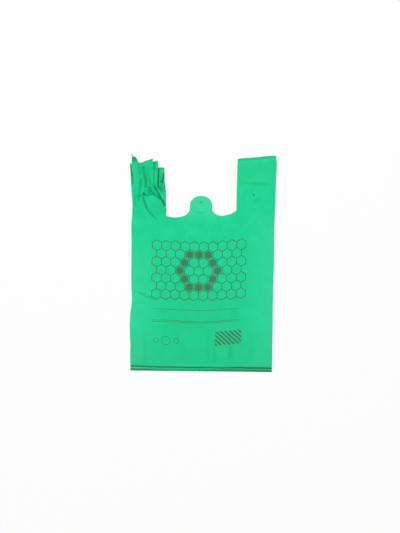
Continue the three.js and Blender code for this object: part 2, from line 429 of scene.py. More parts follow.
@dataclass
class BunchedHandle:
    """Left handle, gathered into pleats. Places are millimetres from its outer foot, across and up.

    The spike has a foot, a lean and a right side. The dome has a middle, a spread and a height.
    """

    width: float = 72.5
    height: float = 119.0
    left_lean: tuple[Point, ...] = (
        (-58.0, -0.7), (-20.0, -0.8), (-4.0, -0.1), (5.0, 0.1), (13.0, 0.9), (22.0, 0.1), (39.0, -1.5),
        (50.0, -2.2), (70.0, -2.5), (80.0, -3.1), (88.0, -3.8), (104.0, -5.8), (121.0, -6.4),
    )
    right_lean: tuple[Point, ...] = (
        (-58.0, 0.0), (-20.0, 0.3), (-3.0, 0.7), (5.0, 1.0), (11.0, 1.6), (20.0, 0.7), (40.0, 0.1),
        (68.0, -0.1), (79.0, -1.0), (88.0, -2.7), (97.0, -3.6), (121.0, -4.4),
    )
    drops: tuple[Point, ...] = (
        (0.0, -2.0), (3.6, 0.8), (5.6, 0.3), (5.9, -1.5), (6.3, -6.2), (7.1, -6.6), (7.9, -3.2),
        (8.7, -1.0), (9.4, -0.2), (12.2, -0.2), (13.6, 1.4), (15.8, 4.8), (18.0, 10.3), (20.4, 12.2),
        (26.6, 11.0), (30.9, 9.0), (35.2, 7.2), (40.2, 6.0), (45.1, 4.4), (47.2, 3.4), (50.0, 3.0),
        (56.0, 1.4), (60.0, -0.4), (80.0, -0.4),
    )
    mound: tuple[Point, ...] = (
        (0.0, 0.8), (4.2, 3.5), (9.0, 9.0), (15.0, 8.4), (21.5, 5.2), (33.0, 7.2), (47.0, 7.6),
        (55.0, 5.0), (61.5, 2.2), (68.0, 4.6), (72.5, 2.0),
    )
    tucks: tuple[Tuck, ...] = (
        Tuck(
            Stroke((
                (-30, 34), (-9, 40), (-4, 47), (-1.4, 56), (-0.2, 68), (0.2, 84), (0.1, 102), (-0.7, 114),
                (-0.7, 142),
            )),
            (0.0, -14.0), 0.8, 4.0, 5.0, past=1.6,
        ),
        Tuck(
            Stroke((
                (40.8, 142), (41.2, 117), (42.8, 107), (44.4, 98), (44.4, 82), (43.6, 68), (45.2, 59),
                (49, 50), (54, 42), (59.5, 33), (65, 26), (68.5, 18), (71, 10), (74, 6), (100, 5),
            )),
            (0.0, -6.5), 0.95, 5.6, 10.0,
        ),
        Tuck(
            Stroke((
                (52.6, 142), (52.8, 112), (53.3, 100), (53.4, 86), (53.1, 72), (52.8, 62), (53.6, 56),
                (56.6, 52), (61, 48.6), (66, 45), (70, 41.5), (76, 38), (100, 36),
            )),
            (0.0, -15.0), 0.95, 6.4, 12.0, carried=(0.0, -6.5),
        ),
    )
    # Creases lower the cloth and paint shade along their lines; negative shade paints a highlight.
    creases: tuple[Crease, ...] = (
        Crease(((17, 112), (18.4, 92), (19.6, 80)), 1.4, 3.4, 0.04, (0.01, 0.1)),
        Crease(((19.6, 80), (19, 64), (17.6, 48), (15.4, 34), (13.8, 16)), 2.6, 2.5, 0.22, (0.24, 0.25)),
        Crease(((22, 103), (23.8, 88), (27, 74), (29, 62), (29.2, 50)), 2.6, 3.0, 0.44, (0.14, 0.12)),
        Crease(((31, 106), (32, 86), (33, 58)), 0.4, 7.0, 0.22, (0.3, 0.2)),
        Crease(((17.4, 104), (18.2, 94), (18.8, 84), (19.4, 79)), 0.0, 2.6, 0.22, (0.3, 0.2)),
        Crease(((37, 76), (38.4, 60), (37.4, 52)), 2.0, 2.0, 0.18, (0.3, 0.05)),
        Crease(((36.4, 56), (37.6, 47), (38.8, 37)), 2.6, 4.6, 0.46, (0.2, 0.02)),
        Crease(((67.8, 86), (66, 78), (64, 70), (62, 62)), 3.0, 2.2, 0.8, (0.08, 0.15)),
        Crease(((66.4, 76), (65.8, 68), (65.4, 60)), 0.0, 2.4, 0.3, (0.2, 0.3)),
        Crease(((59, 73), (61.4, 65), (65, 57), (69, 51)), 0.0, 3.4, 0.26, (0.2, 0.2)),
        Crease(((62, -17), (52, -12), (42, -4.5), (34.2, 5.4), (29.2, 14), (26.2, 24), (23.6, 32),
                (21.4, 40)),
               4.2, 2.2, 0.44, (0.3, 0.05), Mark.STEP, 8.0),
        Crease(((23, 40), (28, 39), (34, 40.6), (40, 40.6), (46, 38.6), (50, 36)),
               5.0, 1.9, 0.36, (0.1, 0.1), Mark.STEP),
        Crease(((21.4, 45.4), (24.2, 41), (26.4, 38.4), (29, 37.2), (31.4, 37.6)),
               3.2, 2.1, 0.8, (0.4, 0.25)),
        Crease(((38.6, 49.4), (43, 43.4), (47, 39), (53, 35), (59, 30.4), (64, 27.4)),
               2.4, 1.8, 0.5, (0.15, 0.2)),
        Crease(((4, 72), (7.5, 40), (6.5, 8)), 1.4, 2.4, 0.16, (0.3, 0.2)),
        Crease(((-5.2, 108), (-4.2, 99), (-2, 91), (-0.4, 84), (0, 74), (0, 64), (0.2, 54)),
               0.0, 1.9, 0.66, (0.0, 0.2)),
        Crease(((3.6, 121), (4.2, 112), (5, 105)), 0.0, 4.2, 0.6, (0.0, 0.45)),
        Crease(((-4.4, 126), (-1.6, 118)), 0.0, 1.6, 0.6, (0.0, 0.3)),
        Crease(((3.4, 26), (3.4, 2), (3, -14)), 0.0, 2.2, 0.14, (0.2, 0.3)),
        Crease(((12, 8), (20, -8), (34, -18)), 0.0, 9.0, 0.11, (0.25, 0.3)),
        Crease(((47.0, 110), (47.4, 102), (47.6, 91)), 0.0, 1.8, 0.6, (0.05, 0.3)),
        Crease(((45.4, 65), (47.2, 56), (50.8, 49.6), (55.6, 41.8), (60.2, 33.8), (65.4, 26.4),
                (69, 17.6), (70.8, 11)),
               0.0, 1.7, 0.8, (0.12, 0.16)),
        Crease(((55.6, 97), (55.3, 84), (54.9, 72), (54.5, 62), (55.2, 54)),
               0.0, 1.65, 0.86, (0.06, 0.04)),
        Crease(((54.6, 58), (58, 52.6), (62.5, 49), (67, 45), (69.8, 42)), 0.0, 2.2, 0.56, (0.02, 0.5)),
        Crease(((14, 104.8), (21, 106.8), (31, 112.4), (40.6, 116)), 0.0, 0.9, 0.4, (0.02, 0.02)),
        Crease(((56, 97), (67, 97)), 0.0, 0.9, 0.36, (0.02, 0.02)),
        Crease(((69.2, 88), (69.2, 68), (69.8, 46)), 0.0, 1.7, 0.42, (0.15, 0.1)),
        # The last four strokes paint highlights, not shade.
        Crease(((63, 45), (65.4, 37), (67.4, 29)), 0.0, 3.0, -0.6, (0.2, 0.2)),
        Crease(((62, 94), (64, 86), (63, 78)), 0.0, 3.0, -0.2, (0.1, 0.3)),
        Crease(((5, 106), (4.6, 84), (4.2, 64), (4, 48)), 0.0, 2.6, -0.16, (0.2, 0.3)),
        Crease(((36, 26), (48, 20), (60, 8)), 0.0, 10.0, -0.1, (0.2, 0.2)),
    )
    spike: tuple[float, ...] = (119.6, 0.55, 3.0)
    dome: tuple[float, ...] = (47.0, 22.0, 19.0, 6.0)
    drop_start: float = 35.0
    drop_power: float = 1.5
    mound_span: Point = (-12.0, 70.0)
    foot_fade: Point = (-46.0, -12.0)
    side_fade: Point = (-100.0, -80.0)
    lowest: float = 0.25
    press_reach: float = 1.2
    unwarp_rounds: int = 12
    unwarp_step: float = 0.8
    row_shares: tuple[float, ...] = (
        0.0, 0.06, 0.12, 0.19, 0.25, 0.3, 0.35, 0.43, 0.52, 0.6, 0.73, 0.86, 1.0,
    )
    row_margin: float = 1.2
    clear_gap: float = 2.0
    square_span: Point = (-4.5, -0.5)
    deep_crease: float = 1.0
    crease_reach: float = 2.2

    def warp(self, across: Array, along: Array) -> tuple[Array, Array]:
        """Leans and draws out the flat handle before it is tucked.

        Args:
            across: Flat places across the handle.
            along: Flat places up the handle.

        Returns:
            Places across and along as the handle lies.
        """
        nodes, left, right = (np.array(line) for line in (self.drops, self.left_lean, self.right_lean))
        drop = np.interp(across, nodes[:, 0], nodes[:, 1])
        drop = drop * ease(along, self.drop_start, self.height) ** self.drop_power
        near = np.interp(along, left[:, 0], left[:, 1])
        far = np.interp(along, right[:, 0], right[:, 1])
        return across + near + (far - near) * np.clip(across / self.width, 0.0, 1.0), along - drop

    def unwarp(self, across: Array, along: Array) -> tuple[Array, Array]:
        """Flat places of points that are given as the handle lies, before it is tucked.

        Args:
            across: Places across the handle as it lies.
            along: Places up the handle as it lies.

        Returns:
            Flat places across and along.
        """
        flat_x, flat_y = across.copy(), along.copy()
        for _ in range(self.unwarp_rounds):
            x, y = self.warp(flat_x, flat_y)
            flat_x = flat_x + self.unwarp_step * (across - x)
            flat_y = flat_y + self.unwarp_step * (along - y)
        return flat_x, flat_y

    def rows(self, step: float, every: int) -> Array:
        """Flat points along the tucks, close enough together to turn round their lips.

        Args:
            step: Gap between points along a lip.
            every: 1 for all rows of a tuck, 2 for every other one.

        Returns:
            Places across and along, in two columns.
        """
        found = []
        for tuck in self.tucks:
            line = np.array(spaced([tuple(point) for point in tuck.lip.line()], step))
            _, _, way_x, way_y = tuck.lip.near(line[:, 0], line[:, 1])
            width, _ = tuck.taken(way_x, way_y)
            levels = [width * share for share in self.row_shares[::every]]
            for level in [*levels, 0.0 * width - self.row_margin, width + self.row_margin]:
                x = line[:, 0] - way_y * level - tuck.carried[0]
                y = line[:, 1] + way_x * level - tuck.carried[1]
                found.append(np.stack(self.unwarp(x, y), axis=1))
        return np.vstack(found)

    def tucked(self, across: Array, along: Array) -> tuple[Array, Array, Array, Array]:
        """Leans and tucks points of the flat handle.

        Args:
            across: Flat places across the handle.
            along: Flat places up the handle.

        Returns:
            Places across and along, how far the tucks lift each point, and its gap to the nearest tuck,
            which is negative in a tuck.
        """
        x, y = self.warp(across, along)
        rise, gap = np.zeros_like(x), np.full_like(x, np.inf)
        for tuck in self.tucks:
            x, y, lift, outside = tuck.lay(x, y)
            rise += lift
            gap = np.minimum(gap, outside)
        return x, y, rise, gap

    def beside_tucks(self, across: Array, along: Array) -> Array:
        """Tells which flat points of the handle keep clear of the tucks' own points."""
        return self.tucked(across, along)[3] > self.clear_gap

    def square(self, across: Array, along: Array) -> Array:
        """Share by which the plies stand square to the cloth, as in the tucks, and not straight up."""
        return ease(-self.tucked(across, along)[3], *self.square_span)

    def creased(self, across: Array, along: Array) -> Array:
        """Tells which flat points of the handle lie in or beside its deeper creases.

        Args:
            across: Flat places across the handle.
            along: Flat places up the handle.

        Returns:
            True for each point that needs a close mesh.
        """
        x, y, _, _ = self.tucked(across, along)
        close = np.zeros(len(x), dtype=bool)
        for crease in self.creases:
            if crease.depth > self.deep_crease:
                close |= np.abs(Stroke(crease.points).near(x, y)[0]) < self.crease_reach * crease.width
        return close

    def settle(self, across: Array, along: Array) -> tuple[Array, Array, Array, Array]:
        """Bunches points of the flat handle.

        Args:
            across: Flat places across the handle.
            along: Flat places up the handle.

        Returns:
            Places across and along, the height of the middle of the stack over its flat height, and the
            painted shade of its folds, which is a painted highlight where negative.
        """
        x, y, rise, _ = self.tucked(across, along)
        tip, lean, side = self.spike
        x = x - lean * np.maximum(y - tip, 0.0) * (x < side)
        rise += eased_line(across, self.mound) * ease(y, *self.mound_span)
        middle_x, middle_y, spread, height = self.dome
        rise += height * np.exp(-(((x - middle_x) / spread) ** 2 + ((y - middle_y) / spread) ** 2))
        # Painted shade of the creases adds up here; negative shade makes painted highlights.
        light = np.ones_like(x)
        for crease in self.creases:
            fall, painted_shade = crease.press(x, y)
            rise -= fall
            light *= 1.0 - painted_shade
        window = ease(along, *self.foot_fade) * ease(-across, *self.side_fade)
        rise = rise * window
        pressed = self.lowest * np.exp(np.minimum(rise - self.lowest, 0.0) / self.press_reach)
        rise = np.where(rise < self.lowest, pressed, rise) * window
        return x, y, rise, (1.0 - light) * window


@dataclass(frozen=True)
class Ripple:
    """Ridge in the flat front with painted shade on its left, or a trough where its height is negative."""

    line: tuple[Point, ...]
    height: float
    width: float
    painted_shade: float = 0.0
    rounds: int = 2
    fade: float = 0.35
    painted_shade_side: float = 0.8

    def rise(self, x: Array, y: Array) -> tuple[Array, Array]:
        """Shape of the ripple.

        Args:
            x: Places across the bag.
            y: Places up the bag.

        Returns:
            Its height and its painted shade at each point.
        """
        gap, place, _, _ = Stroke(self.line, self.rounds).near(x, y)
        ends = ease(place, 0.0, self.fade) * ease(1.0 - place, 0.0, self.fade)
        side = np.exp(-((gap / self.width - self.painted_shade_side) ** 2))
        return self.height * ends * np.exp(-((gap / self.width) ** 2)), self.painted_shade * ends * side


@dataclass(frozen=True)
class Tint:
    """Soft-edged part of the bag that takes on another colour.

    A span says where the tint starts to show and where it is full, up the bag or out from its middle.
    """

    share: float
    up: tuple[Point, ...]
    out: tuple[Point, ...] = ()
    left_drop: float = 0.0


@dataclass(frozen=True)
class ClothFinish:
    """Spun-bonded cloth: its colours, its fibres and point bonds, the look of its welds and edges, and the
    colours of its painted shade and highlights.

    Places are millimetres of the flat bag. A grain is the scale and the detail of a noise.
    """

    name: str
    printed: bool
    pale: Colour = (0.006, 0.690, 0.312, 1.0)
    deep: Colour = (0.001, 0.620, 0.262, 1.0)
    bond: Colour = (0.010, 0.300, 0.120, 1.0)
    # Colour of the welds, also used for the painted shadow along the bottom edge.
    weld: Colour = (0.000, 0.130, 0.042, 1.0)
    # Colour of the painted shade in the folds, round the pin holes, along the slit and beside the ripples.
    fold: Colour = (0.000, 0.165, 0.058, 1.0)
    cut: Colour = (0.085, 0.560, 0.330, 1.0)
    # Paler colour of the sides and the tab, and of the painted highlights.
    paler_and_highlight_colour: Colour = (0.060, 0.720, 0.390, 1.0)
    # Colour of the painted shade towards the bottom, in the middle and near the handles' tops.
    broad_painted_shade: Colour = (0.020, 0.500, 0.190, 1.0)
    ink: Colour = (0.045, 0.185, 0.092, 1.0)
    cloud_grain: Point = (0.045, 5.0)
    streak_grain: Point = (0.55, 4.0)
    fibre_grain: Point = (2.6, 3.0)
    streak_stretch: float = 0.06
    tone_shares: Triple = (0.75, 0.55, 0.3)
    tone_span: Point = (0.58, 1.02)
    bond_pitch: float = 1.6
    bond_span: Point = (0.34, 0.24)
    bond_share: float = 0.16
    welds: tuple[Point, ...] = ((6.6, 1.0), (453.0, 0.16))
    weld_half: float = 1.6
    weld_soft: float = 0.6
    dash_pitch: float = 2.2
    dash_band: Triple = (0.5, 0.34, 0.1)
    dash_share: float = 0.15
    right_span: Point = (-60.0, 70.0)
    right_share: float = 0.22
    faint_band: Triple = (30.0, 24.0, 40.0)
    faint_share: float = 0.2
    dip_band: Triple = (46.0, 14.0, 30.0)
    dip_depth: float = 0.7
    rise_span: Point = (-98.0, -136.0)
    rise_height: float = 1.3
    # Painted shadow along the bottom edge of the front.
    bottom_shadow_span: Point = (4.2, 2.4)
    bottom_shadow_share: float = 0.4
    bottom_shadow_right: float = 0.38
    bottom_shadow_left_span: Point = (-60.0, -115.0)
    bottom_shadow_left: float = 0.8
    left_span: Point = (60.0, -60.0)
    # Paler towards the sides and on the tab, and a painted highlight.
    paler_and_highlight_tints: tuple[Tint, ...] = (
        Tint(0.3, ((350.0, 300.0),), ((84.0, 146.0),), 70.0),
        Tint(0.6, ((312.0, 352.0),), ((60.0, 40.0),)),
        # Painted highlight along the ridge above the bottom weld.
        Tint(0.6, ((8.2, 10.2), (14.2, 12.2))),
    )
    # Painted shade: darker towards the bottom, in the middle of the lower body and near the handles' tops.
    deeper: tuple[Tint, ...] = (
        Tint(0.36, ((105.0, 15.0),)),
        Tint(0.32, ((200.0, 110.0), (60.0, 100.0)), ((100.0, 40.0),)),
        Tint(0.2, ((393.0, 406.0),)),
    )
    cut_span: Point = (3.0, 6.0)
    cut_share: float = 0.6
    roughness: float = 0.62
    fibre_rough: float = 0.16
    weld_smooth: float = 0.2
    ink_smooth: float = 0.08
    wear_span: Point = (0.2, 0.5)
    wear_bond: float = 0.25
    wear_share: float = 0.2
    ink_least: float = 0.78
    front_least: float = 0.99
    streak_relief: float = 0.35
    fibre_relief: float = 0.5
    bond_relief: float = 0.5
    bump_strength: float = 0.35
    bump_depth: float = 0.00012
    specular: float = 0.18
    # Less specular and sheen under the painted fold shade.
    specular_fold: float = 0.16
    sheen: float = 0.03
    sheen_roughness: float = 0.5


@dataclass
class Bench:
    """Adds nodes to a material or a world and joins them. A value is a number or a socket."""

    owner: bpy.types.Material | bpy.types.World
    tree: bpy.types.NodeTree = field(init=False)

    def __post_init__(self) -> None:
        """Starts from an empty tree."""
        self.owner.use_nodes = True
        self.tree = self.owner.node_tree
        self.tree.nodes.clear()

    def add(
        self, kind: str, inputs: dict[str | int, object] | None = None, **settings: object
    ) -> bpy.types.Node:
        """Adds a node.

        Args:
            kind: Blender's name of the node type.
            inputs: Values or sockets for its inputs, by name or number.
            **settings: Properties to set on the node first.

        Returns:
            The new node.
        """
        node = self.tree.nodes.new(kind)
        for key, value in settings.items():
            setattr(node, key, value)
        for key, value in (inputs or {}).items():
            self.put(node.inputs[key], value)
        return node

    def put(self, socket: Socket, value: object) -> None:
        """Sets a socket, or links it where the value is a socket itself.

        Args:
            socket: Input to set.
            value: Value or socket for it.
        """
        if isinstance(value, Socket):
            self.tree.links.new(value, socket)
        else:
            socket.default_value = value

    def math(self, operation: str, *values: object) -> Socket:
        """Result of a Math node on up to three values."""
        return self.add("ShaderNodeMath", dict(enumerate(values)), operation=operation).outputs[0]

    def chain(self, operation: str, *values: object) -> Socket:
        """Joins values by one operation, from left to right.

        Args:
            operation: Blender's name of the operation.
            *values: Values to join.

        Returns:
            Socket with the result.
        """
        result = values[0]
        for value in values[1:]:
            result = self.math(operation, result, value)
        return result

    def times(self, *values: object) -> Socket:
        """Product of several values."""
        return self.chain("MULTIPLY", *values)

    def most(self, *values: object) -> Socket:
        """Largest of several values."""
        return self.chain("MAXIMUM", *values)

    def minus(self, first: object, second: object) -> Socket:
        """Difference of two values."""
        return self.math("SUBTRACT", first, second)

    def scaled(self, value: object, factor: object, start: object) -> Socket:
        """Value times a factor, added to a start."""
        return self.math("MULTIPLY_ADD", value, factor, start)

    def apart(self, across: object, along: object) -> Socket:
        """Length of a step across and along."""
        squares = [self.math("POWER", part, 2.0) for part in (across, along)]
        return self.math("SQRT", self.math("ADD", *squares))

    def turn(self, value: object, pitch: float) -> Socket:
        """Share of its pitch that a value has gone through in a pattern that repeats."""
        return self.math("FRACT", self.math("DIVIDE", self.math("ADD", value, PATTERN_BACK), pitch))

    def ramp(self, value: object, low: float, high: float) -> Socket:
        """Ramp from 0 at low to 1 at high, clamped."""
        inputs = {"Value": value, "From Min": low, "From Max": high, "To Min": 0.0, "To Max": 1.0}
        return self.add("ShaderNodeMapRange", inputs, clamp=True).outputs[0]

    def band(self, value: object, centre: float, half: float, soft: float) -> Socket:
        """Mask that is 1 within half a width of a centre, with edges that fade over a soft width."""
        away = self.math("ABSOLUTE", self.minus(value, centre))
        return self.ramp(away, half + soft / 2, half - soft / 2)

    def mix(self, factor: object, first: object, second: object) -> Socket:
        """Colour between two colours.

        Args:
            factor: Share of the second colour.
            first: Colour or socket at 0.
            second: Colour or socket at 1.

        Returns:
            Socket with the colour.
        """
        node = self.add("ShaderNodeMix", data_type="RGBA")
        for socket, value in ((node.inputs[0], factor), (node.inputs[6], first), (node.inputs[7], second)):
            self.put(socket, value)
        return node.outputs[2]


@dataclass
class Print:
    """Plain generic print on the front: a honeycomb, a row of dots, rules, rings and stripes.

    Places are millimetres of the flat bag, and those of the honeycomb's lines are shares of a cell.
    """

    bench: Bench
    x: Socket
    y: Socket
    soft: float = 0.5
    comb_box: Box = (-108.9, 92.9, 150.6, 279.4)
    comb_pitch: float = 20.0
    comb_heart: Point = (-8.0, 215.0)
    comb_line: Point = (0.44, 0.47)
    comb_core: Point = (0.41, 0.38)
    comb_ring: Triple = (1.8, 0.4, 0.02)
    dots_up: float = 131.0
    dots_span: Point = (-104.0, 78.0)
    dot_pitch: float = 3.4
    dot_edge: Point = (1.25, 0.85)
    rules: tuple[float, ...] = (107.4, 104.2)
    rule_span: Point = (-108.0, 80.0)
    rule_half: float = 0.5
    rings: tuple[Triple, ...] = ((-76.0, 64.0, 9.0), (-98.0, 64.0, 5.0), (-54.0, 64.0, 5.0))
    ring_half: float = 0.55
    stripe_box: Box = (29.0, 84.5, 55.0, 85.0)
    stripe_pitch: float = 9.4
    stripe_band: Triple = (0.5, 0.27, 0.08)

    def mask(self) -> Socket:
        """Socket that is 1 on ink and 0 on bare cloth."""
        return self.bench.most(self.comb(), self.lines(), self.small())

    def span(self, value: Socket, low: float, high: float) -> Socket:
        """Mask between two places."""
        return self.bench.band(value, (low + high) / 2, (high - low) / 2, self.soft)

    def inside(self, box: Box) -> Socket:
        """Mask of a box given by its left, right, low and high sides."""
        return self.bench.times(self.span(self.x, *box[:2]), self.span(self.y, *box[2:]))

    def cell(self, u: Socket, v: Socket, shift: float) -> tuple[Socket, Socket]:
        """Place of a point within its cell of one of the two grids of a honeycomb.

        Args:
            u: Place across, in cells.
            v: Place up, in cells.
            shift: 0 for the first grid, 0.5 for the one between.

        Returns:
            Places across and up from the cell's middle.
        """
        bench, root = self.bench, math.sqrt(3.0)
        back = CELLS_BACK + shift
        across = bench.minus(bench.math("FRACT", bench.math("ADD", u, back)), 0.5)
        up = bench.math("FRACT", bench.math("ADD", bench.math("DIVIDE", v, root), back))
        return across, bench.times(bench.minus(up, 0.5), root)

    def comb(self) -> Socket:
        """Mask of a honeycomb of thin lines with a ring of filled cells.

        Returns:
            Socket that is 1 on its ink.
        """
        bench = self.bench
        place = [
            bench.math("DIVIDE", bench.minus(value, heart), self.comb_pitch)
            for value, heart in zip((self.x, self.y), self.comb_heart)
        ]
        first, second = (self.cell(*place, shift) for shift in (0.0, 0.5))
        nearer = bench.math("LESS_THAN", bench.apart(*second), bench.apart(*first))
        spot = [bench.scaled(nearer, bench.minus(b, a), a) for a, b in zip(first, second)]
        wide, tall = (bench.math("ABSOLUTE", part) for part in spot)
        reach = bench.most(wide, bench.scaled(tall, math.sqrt(0.75), bench.times(wide, 0.5)))
        ring = bench.apart(*[bench.minus(part, inner) for part, inner in zip(place, spot)])
        core = bench.times(bench.band(ring, *self.comb_ring), bench.ramp(reach, *self.comb_core))
        return bench.times(bench.most(bench.ramp(reach, *self.comb_line), core), self.inside(self.comb_box))

    def lines(self) -> Socket:
        """Mask of a row of dots and a pair of plain rules.

        Returns:
            Socket that is 1 on their ink.
        """
        bench = self.bench
        across = bench.times(bench.minus(bench.turn(self.x, self.dot_pitch), 0.5), self.dot_pitch)
        dots = bench.ramp(bench.apart(across, bench.minus(self.y, self.dots_up)), *self.dot_edge)
        pair = bench.most(*[bench.band(self.y, rule, self.rule_half, self.soft) for rule in self.rules])
        row = bench.times(dots, self.span(self.x, *self.dots_span))
        return bench.most(row, bench.times(pair, self.span(self.x, *self.rule_span)))

    def small(self) -> Socket:
        """Mask of three rings and a block of slanting stripes.

        Returns:
            Socket that is 1 on their ink.
        """
        bench, rings = self.bench, []
        for middle_x, middle_y, radius in self.rings:
            gap = bench.apart(bench.minus(self.x, middle_x), bench.minus(self.y, middle_y))
            rings.append(bench.band(gap, radius, self.ring_half, self.soft))
        slant = bench.turn(bench.math("ADD", self.x, self.y), self.stripe_pitch)
        stripes = bench.times(bench.band(slant, *self.stripe_band), self.inside(self.stripe_box))
        return bench.most(*rings, stripes)


@dataclass
class Dresser:
    """Makes the material of one finish of the cloth."""

    finish: ClothFinish
    bench: Bench = field(init=False)
    flat: Socket = field(init=False)
    x: Socket = field(init=False)
    y: Socket = field(init=False)
    front: Socket = field(init=False)

    def __post_init__(self) -> None:
        """Starts the material with its places on the flat bag."""
        self.bench = Bench(bpy.data.materials.new(self.finish.name))
        laid = self.bench.add("ShaderNodeUVMap", uv_map="flat").outputs[0]
        sized = self.bench.add("ShaderNodeVectorMath", {0: laid, "Scale": 1.0 / MM}, operation="SCALE")
        self.flat = sized.outputs[0]
        place = self.bench.add("ShaderNodeSeparateXYZ", {0: self.flat})
        self.x, self.y = place.outputs[0], place.outputs[1]
        self.front = self.stored("front_ply")

    def stored(self, name: str) -> Socket:
        """Value that the mesh stores under a name."""
        return self.bench.add("ShaderNodeAttribute", attribute_name=name).outputs["Fac"]

    def noise(self, place: Socket, grain: Point) -> Socket:
        """Noise of a scale and a detail."""
        inputs = {"Vector": place, "Scale": grain[0], "Detail": grain[1]}
        return self.bench.add("ShaderNodeTexNoise", inputs).outputs[0]

    def bonds(self) -> Socket:
        """Mask of the point bonds, which stand in a grid on its corner.

        Returns:
            Socket that is 1 on the bonds.
        """
        on_corner = {"Vector": self.flat, "Rotation": (0.0, 0.0, math.pi / 4)}
        turned = self.bench.add("ShaderNodeMapping", on_corner)
        inputs = {"Vector": turned.outputs[0], "Scale": 1.0 / self.finish.bond_pitch, "Randomness": 0.0}
        grid = self.bench.add("ShaderNodeTexVoronoi", inputs, voronoi_dimensions="2D")
        return self.bench.ramp(grid.outputs["Distance"], *self.finish.bond_span)

    def welds(self) -> tuple[Socket, Socket]:
        """Masks of the welds and of the painted shadow along the bottom edge.

        Returns:
            Sockets for the pressed lines and for the painted shadow along the bottom edge.
        """
        bench, finish, x = self.bench, self.finish, self.x
        swayed = bench.scaled(bench.band(x, *finish.dip_band), finish.dip_depth, self.y)
        swayed = bench.scaled(bench.ramp(x, *finish.rise_span), -finish.rise_height, swayed)
        lines = [
            bench.times(bench.band(swayed, centre, finish.weld_half, finish.weld_soft), strength)
            for centre, strength in finish.welds
        ]
        dash = bench.band(bench.turn(x, finish.dash_pitch), *finish.dash_band)
        right = bench.ramp(x, *finish.right_span)
        pressed = bench.times(
            bench.most(*lines),
            bench.scaled(dash, finish.dash_share, 1.0 - finish.dash_share),
            bench.scaled(right, finish.right_share, 1.0 - finish.right_share),
            bench.scaled(bench.band(x, *finish.faint_band), -finish.faint_share, 1.0),
        )
        # Painted shadow along the bottom edge of the front.
        bottom_shadow = bench.times(
            bench.ramp(self.y, *finish.bottom_shadow_span),
            bench.scaled(right, finish.bottom_shadow_right, finish.bottom_shadow_share),
            bench.scaled(bench.ramp(x, *finish.bottom_shadow_left_span), finish.bottom_shadow_left, 1.0),
            self.front,
        )
        return pressed, bottom_shadow

    def tinted(self, tints: tuple[Tint, ...]) -> Socket:
        """Mask of several tints.

        Args:
            tints: The tints.

        Returns:
            Socket with the share of the strongest one.
        """
        bench, masks = self.bench, []
        wide, left = bench.math("ABSOLUTE", self.x), bench.ramp(self.x, *self.finish.left_span)
        for tint in tints:
            up = bench.scaled(left, tint.left_drop, self.y)
            spans = [bench.ramp(up, *span) for span in tint.up]
            spans += [bench.ramp(wide, *span) for span in tint.out]
            masks.append(bench.times(*spans, tint.share))
        return bench.most(*masks)

    def ink(self, bonds: Socket, fibre: Socket) -> Socket:
        """Mask of the print, a little worn by the cloth.

        Args:
            bonds: Mask of the bonds.
            fibre: Noise of the fibres.

        Returns:
            Socket with the share of ink, on the front alone.
        """
        bench, finish = self.bench, self.finish
        worn = bench.scaled(bonds, -finish.wear_bond, bench.ramp(fibre, *finish.wear_span))
        lifted = bench.minus(self.y, self.stored("print_lift"))
        on_front = bench.math("GREATER_THAN", self.front, finish.front_least)
        printed = Print(bench, self.x, lifted).mask()
        return bench.times(printed, on_front, bench.scaled(worn, finish.wear_share, finish.ink_least))

    def build(self) -> bpy.types.Material:
        """Makes the whole material.

        Returns:
            The new material.
        """
        bench, finish = self.bench, self.finish
        stretch = {"Vector": self.flat, "Scale": (1.0, finish.streak_stretch, 1.0)}
        streak = self.noise(bench.add("ShaderNodeMapping", stretch).outputs[0], finish.streak_grain)
        cloud, fibre = (self.noise(self.flat, grain) for grain in (finish.cloud_grain, finish.fibre_grain))
        tone = 0.0
        for part, share in zip((cloud, streak, fibre), finish.tone_shares):
            tone = bench.scaled(part, share, tone)
        colour = bench.mix(bench.ramp(tone, *finish.tone_span), finish.deep, finish.pale)
        bonds, (pressed, bottom_shadow), folded = self.bonds(), self.welds(), self.stored("fold_shade")
        cut = bench.times(self.stored("cut_edge"), bench.ramp(self.y, *finish.cut_span), finish.cut_share)
        rough = bench.scaled(fibre, finish.fibre_rough, finish.roughness - finish.fibre_rough / 2)
        rough = bench.scaled(pressed, -finish.weld_smooth, rough)
        coats = [
            (bench.times(bonds, finish.bond_share), finish.bond),
            # Paler sides and tab, and a painted highlight above the bottom weld.
            (self.tinted(finish.paler_and_highlight_tints), finish.paler_and_highlight_colour),
            # Painted shade towards the bottom, in the middle and near the handles' tops.
            (self.tinted(finish.deeper), finish.broad_painted_shade),
            # Painted shade in the folds, and painted highlights where it is negative.
            (folded, finish.fold),
            (bench.times(folded, -1.0), finish.paler_and_highlight_colour),
            # Welds, and the painted shadow along the bottom edge.
            (bench.most(pressed, bottom_shadow), finish.weld),
            (cut, finish.cut),
        ]
        if finish.printed:
            coats.append((self.ink(bonds, fibre), finish.ink))
            rough = bench.scaled(coats[-1][0], -finish.ink_smooth, rough)
        for mask, coat in coats:
            colour = bench.mix(mask, colour, coat)
        relief = bench.times(streak, finish.streak_relief)
        for part, share in ((fibre, finish.fibre_relief), (bonds, -finish.bond_relief), (pressed, -1.0)):
            relief = bench.scaled(part, share, relief)
        bump = {"Strength": finish.bump_strength, "Distance": finish.bump_depth, "Height": relief}
        shader = {
            "Base Color": colour,
            "Roughness": rough,
            "Normal": bench.add("ShaderNodeBump", bump).outputs[0],
            # Less specular and sheen under the painted fold shade.
            "Specular IOR Level": bench.scaled(folded, -finish.specular_fold, finish.specular),
            "Sheen Weight": bench.scaled(folded, -finish.sheen, finish.sheen),
            "Sheen Roughness": finish.sheen_roughness,
        }
        surface = bench.add("ShaderNodeBsdfPrincipled", shader).outputs[0]
        bench.add("ShaderNodeOutputMaterial", {"Surface": surface})
        return bench.owner


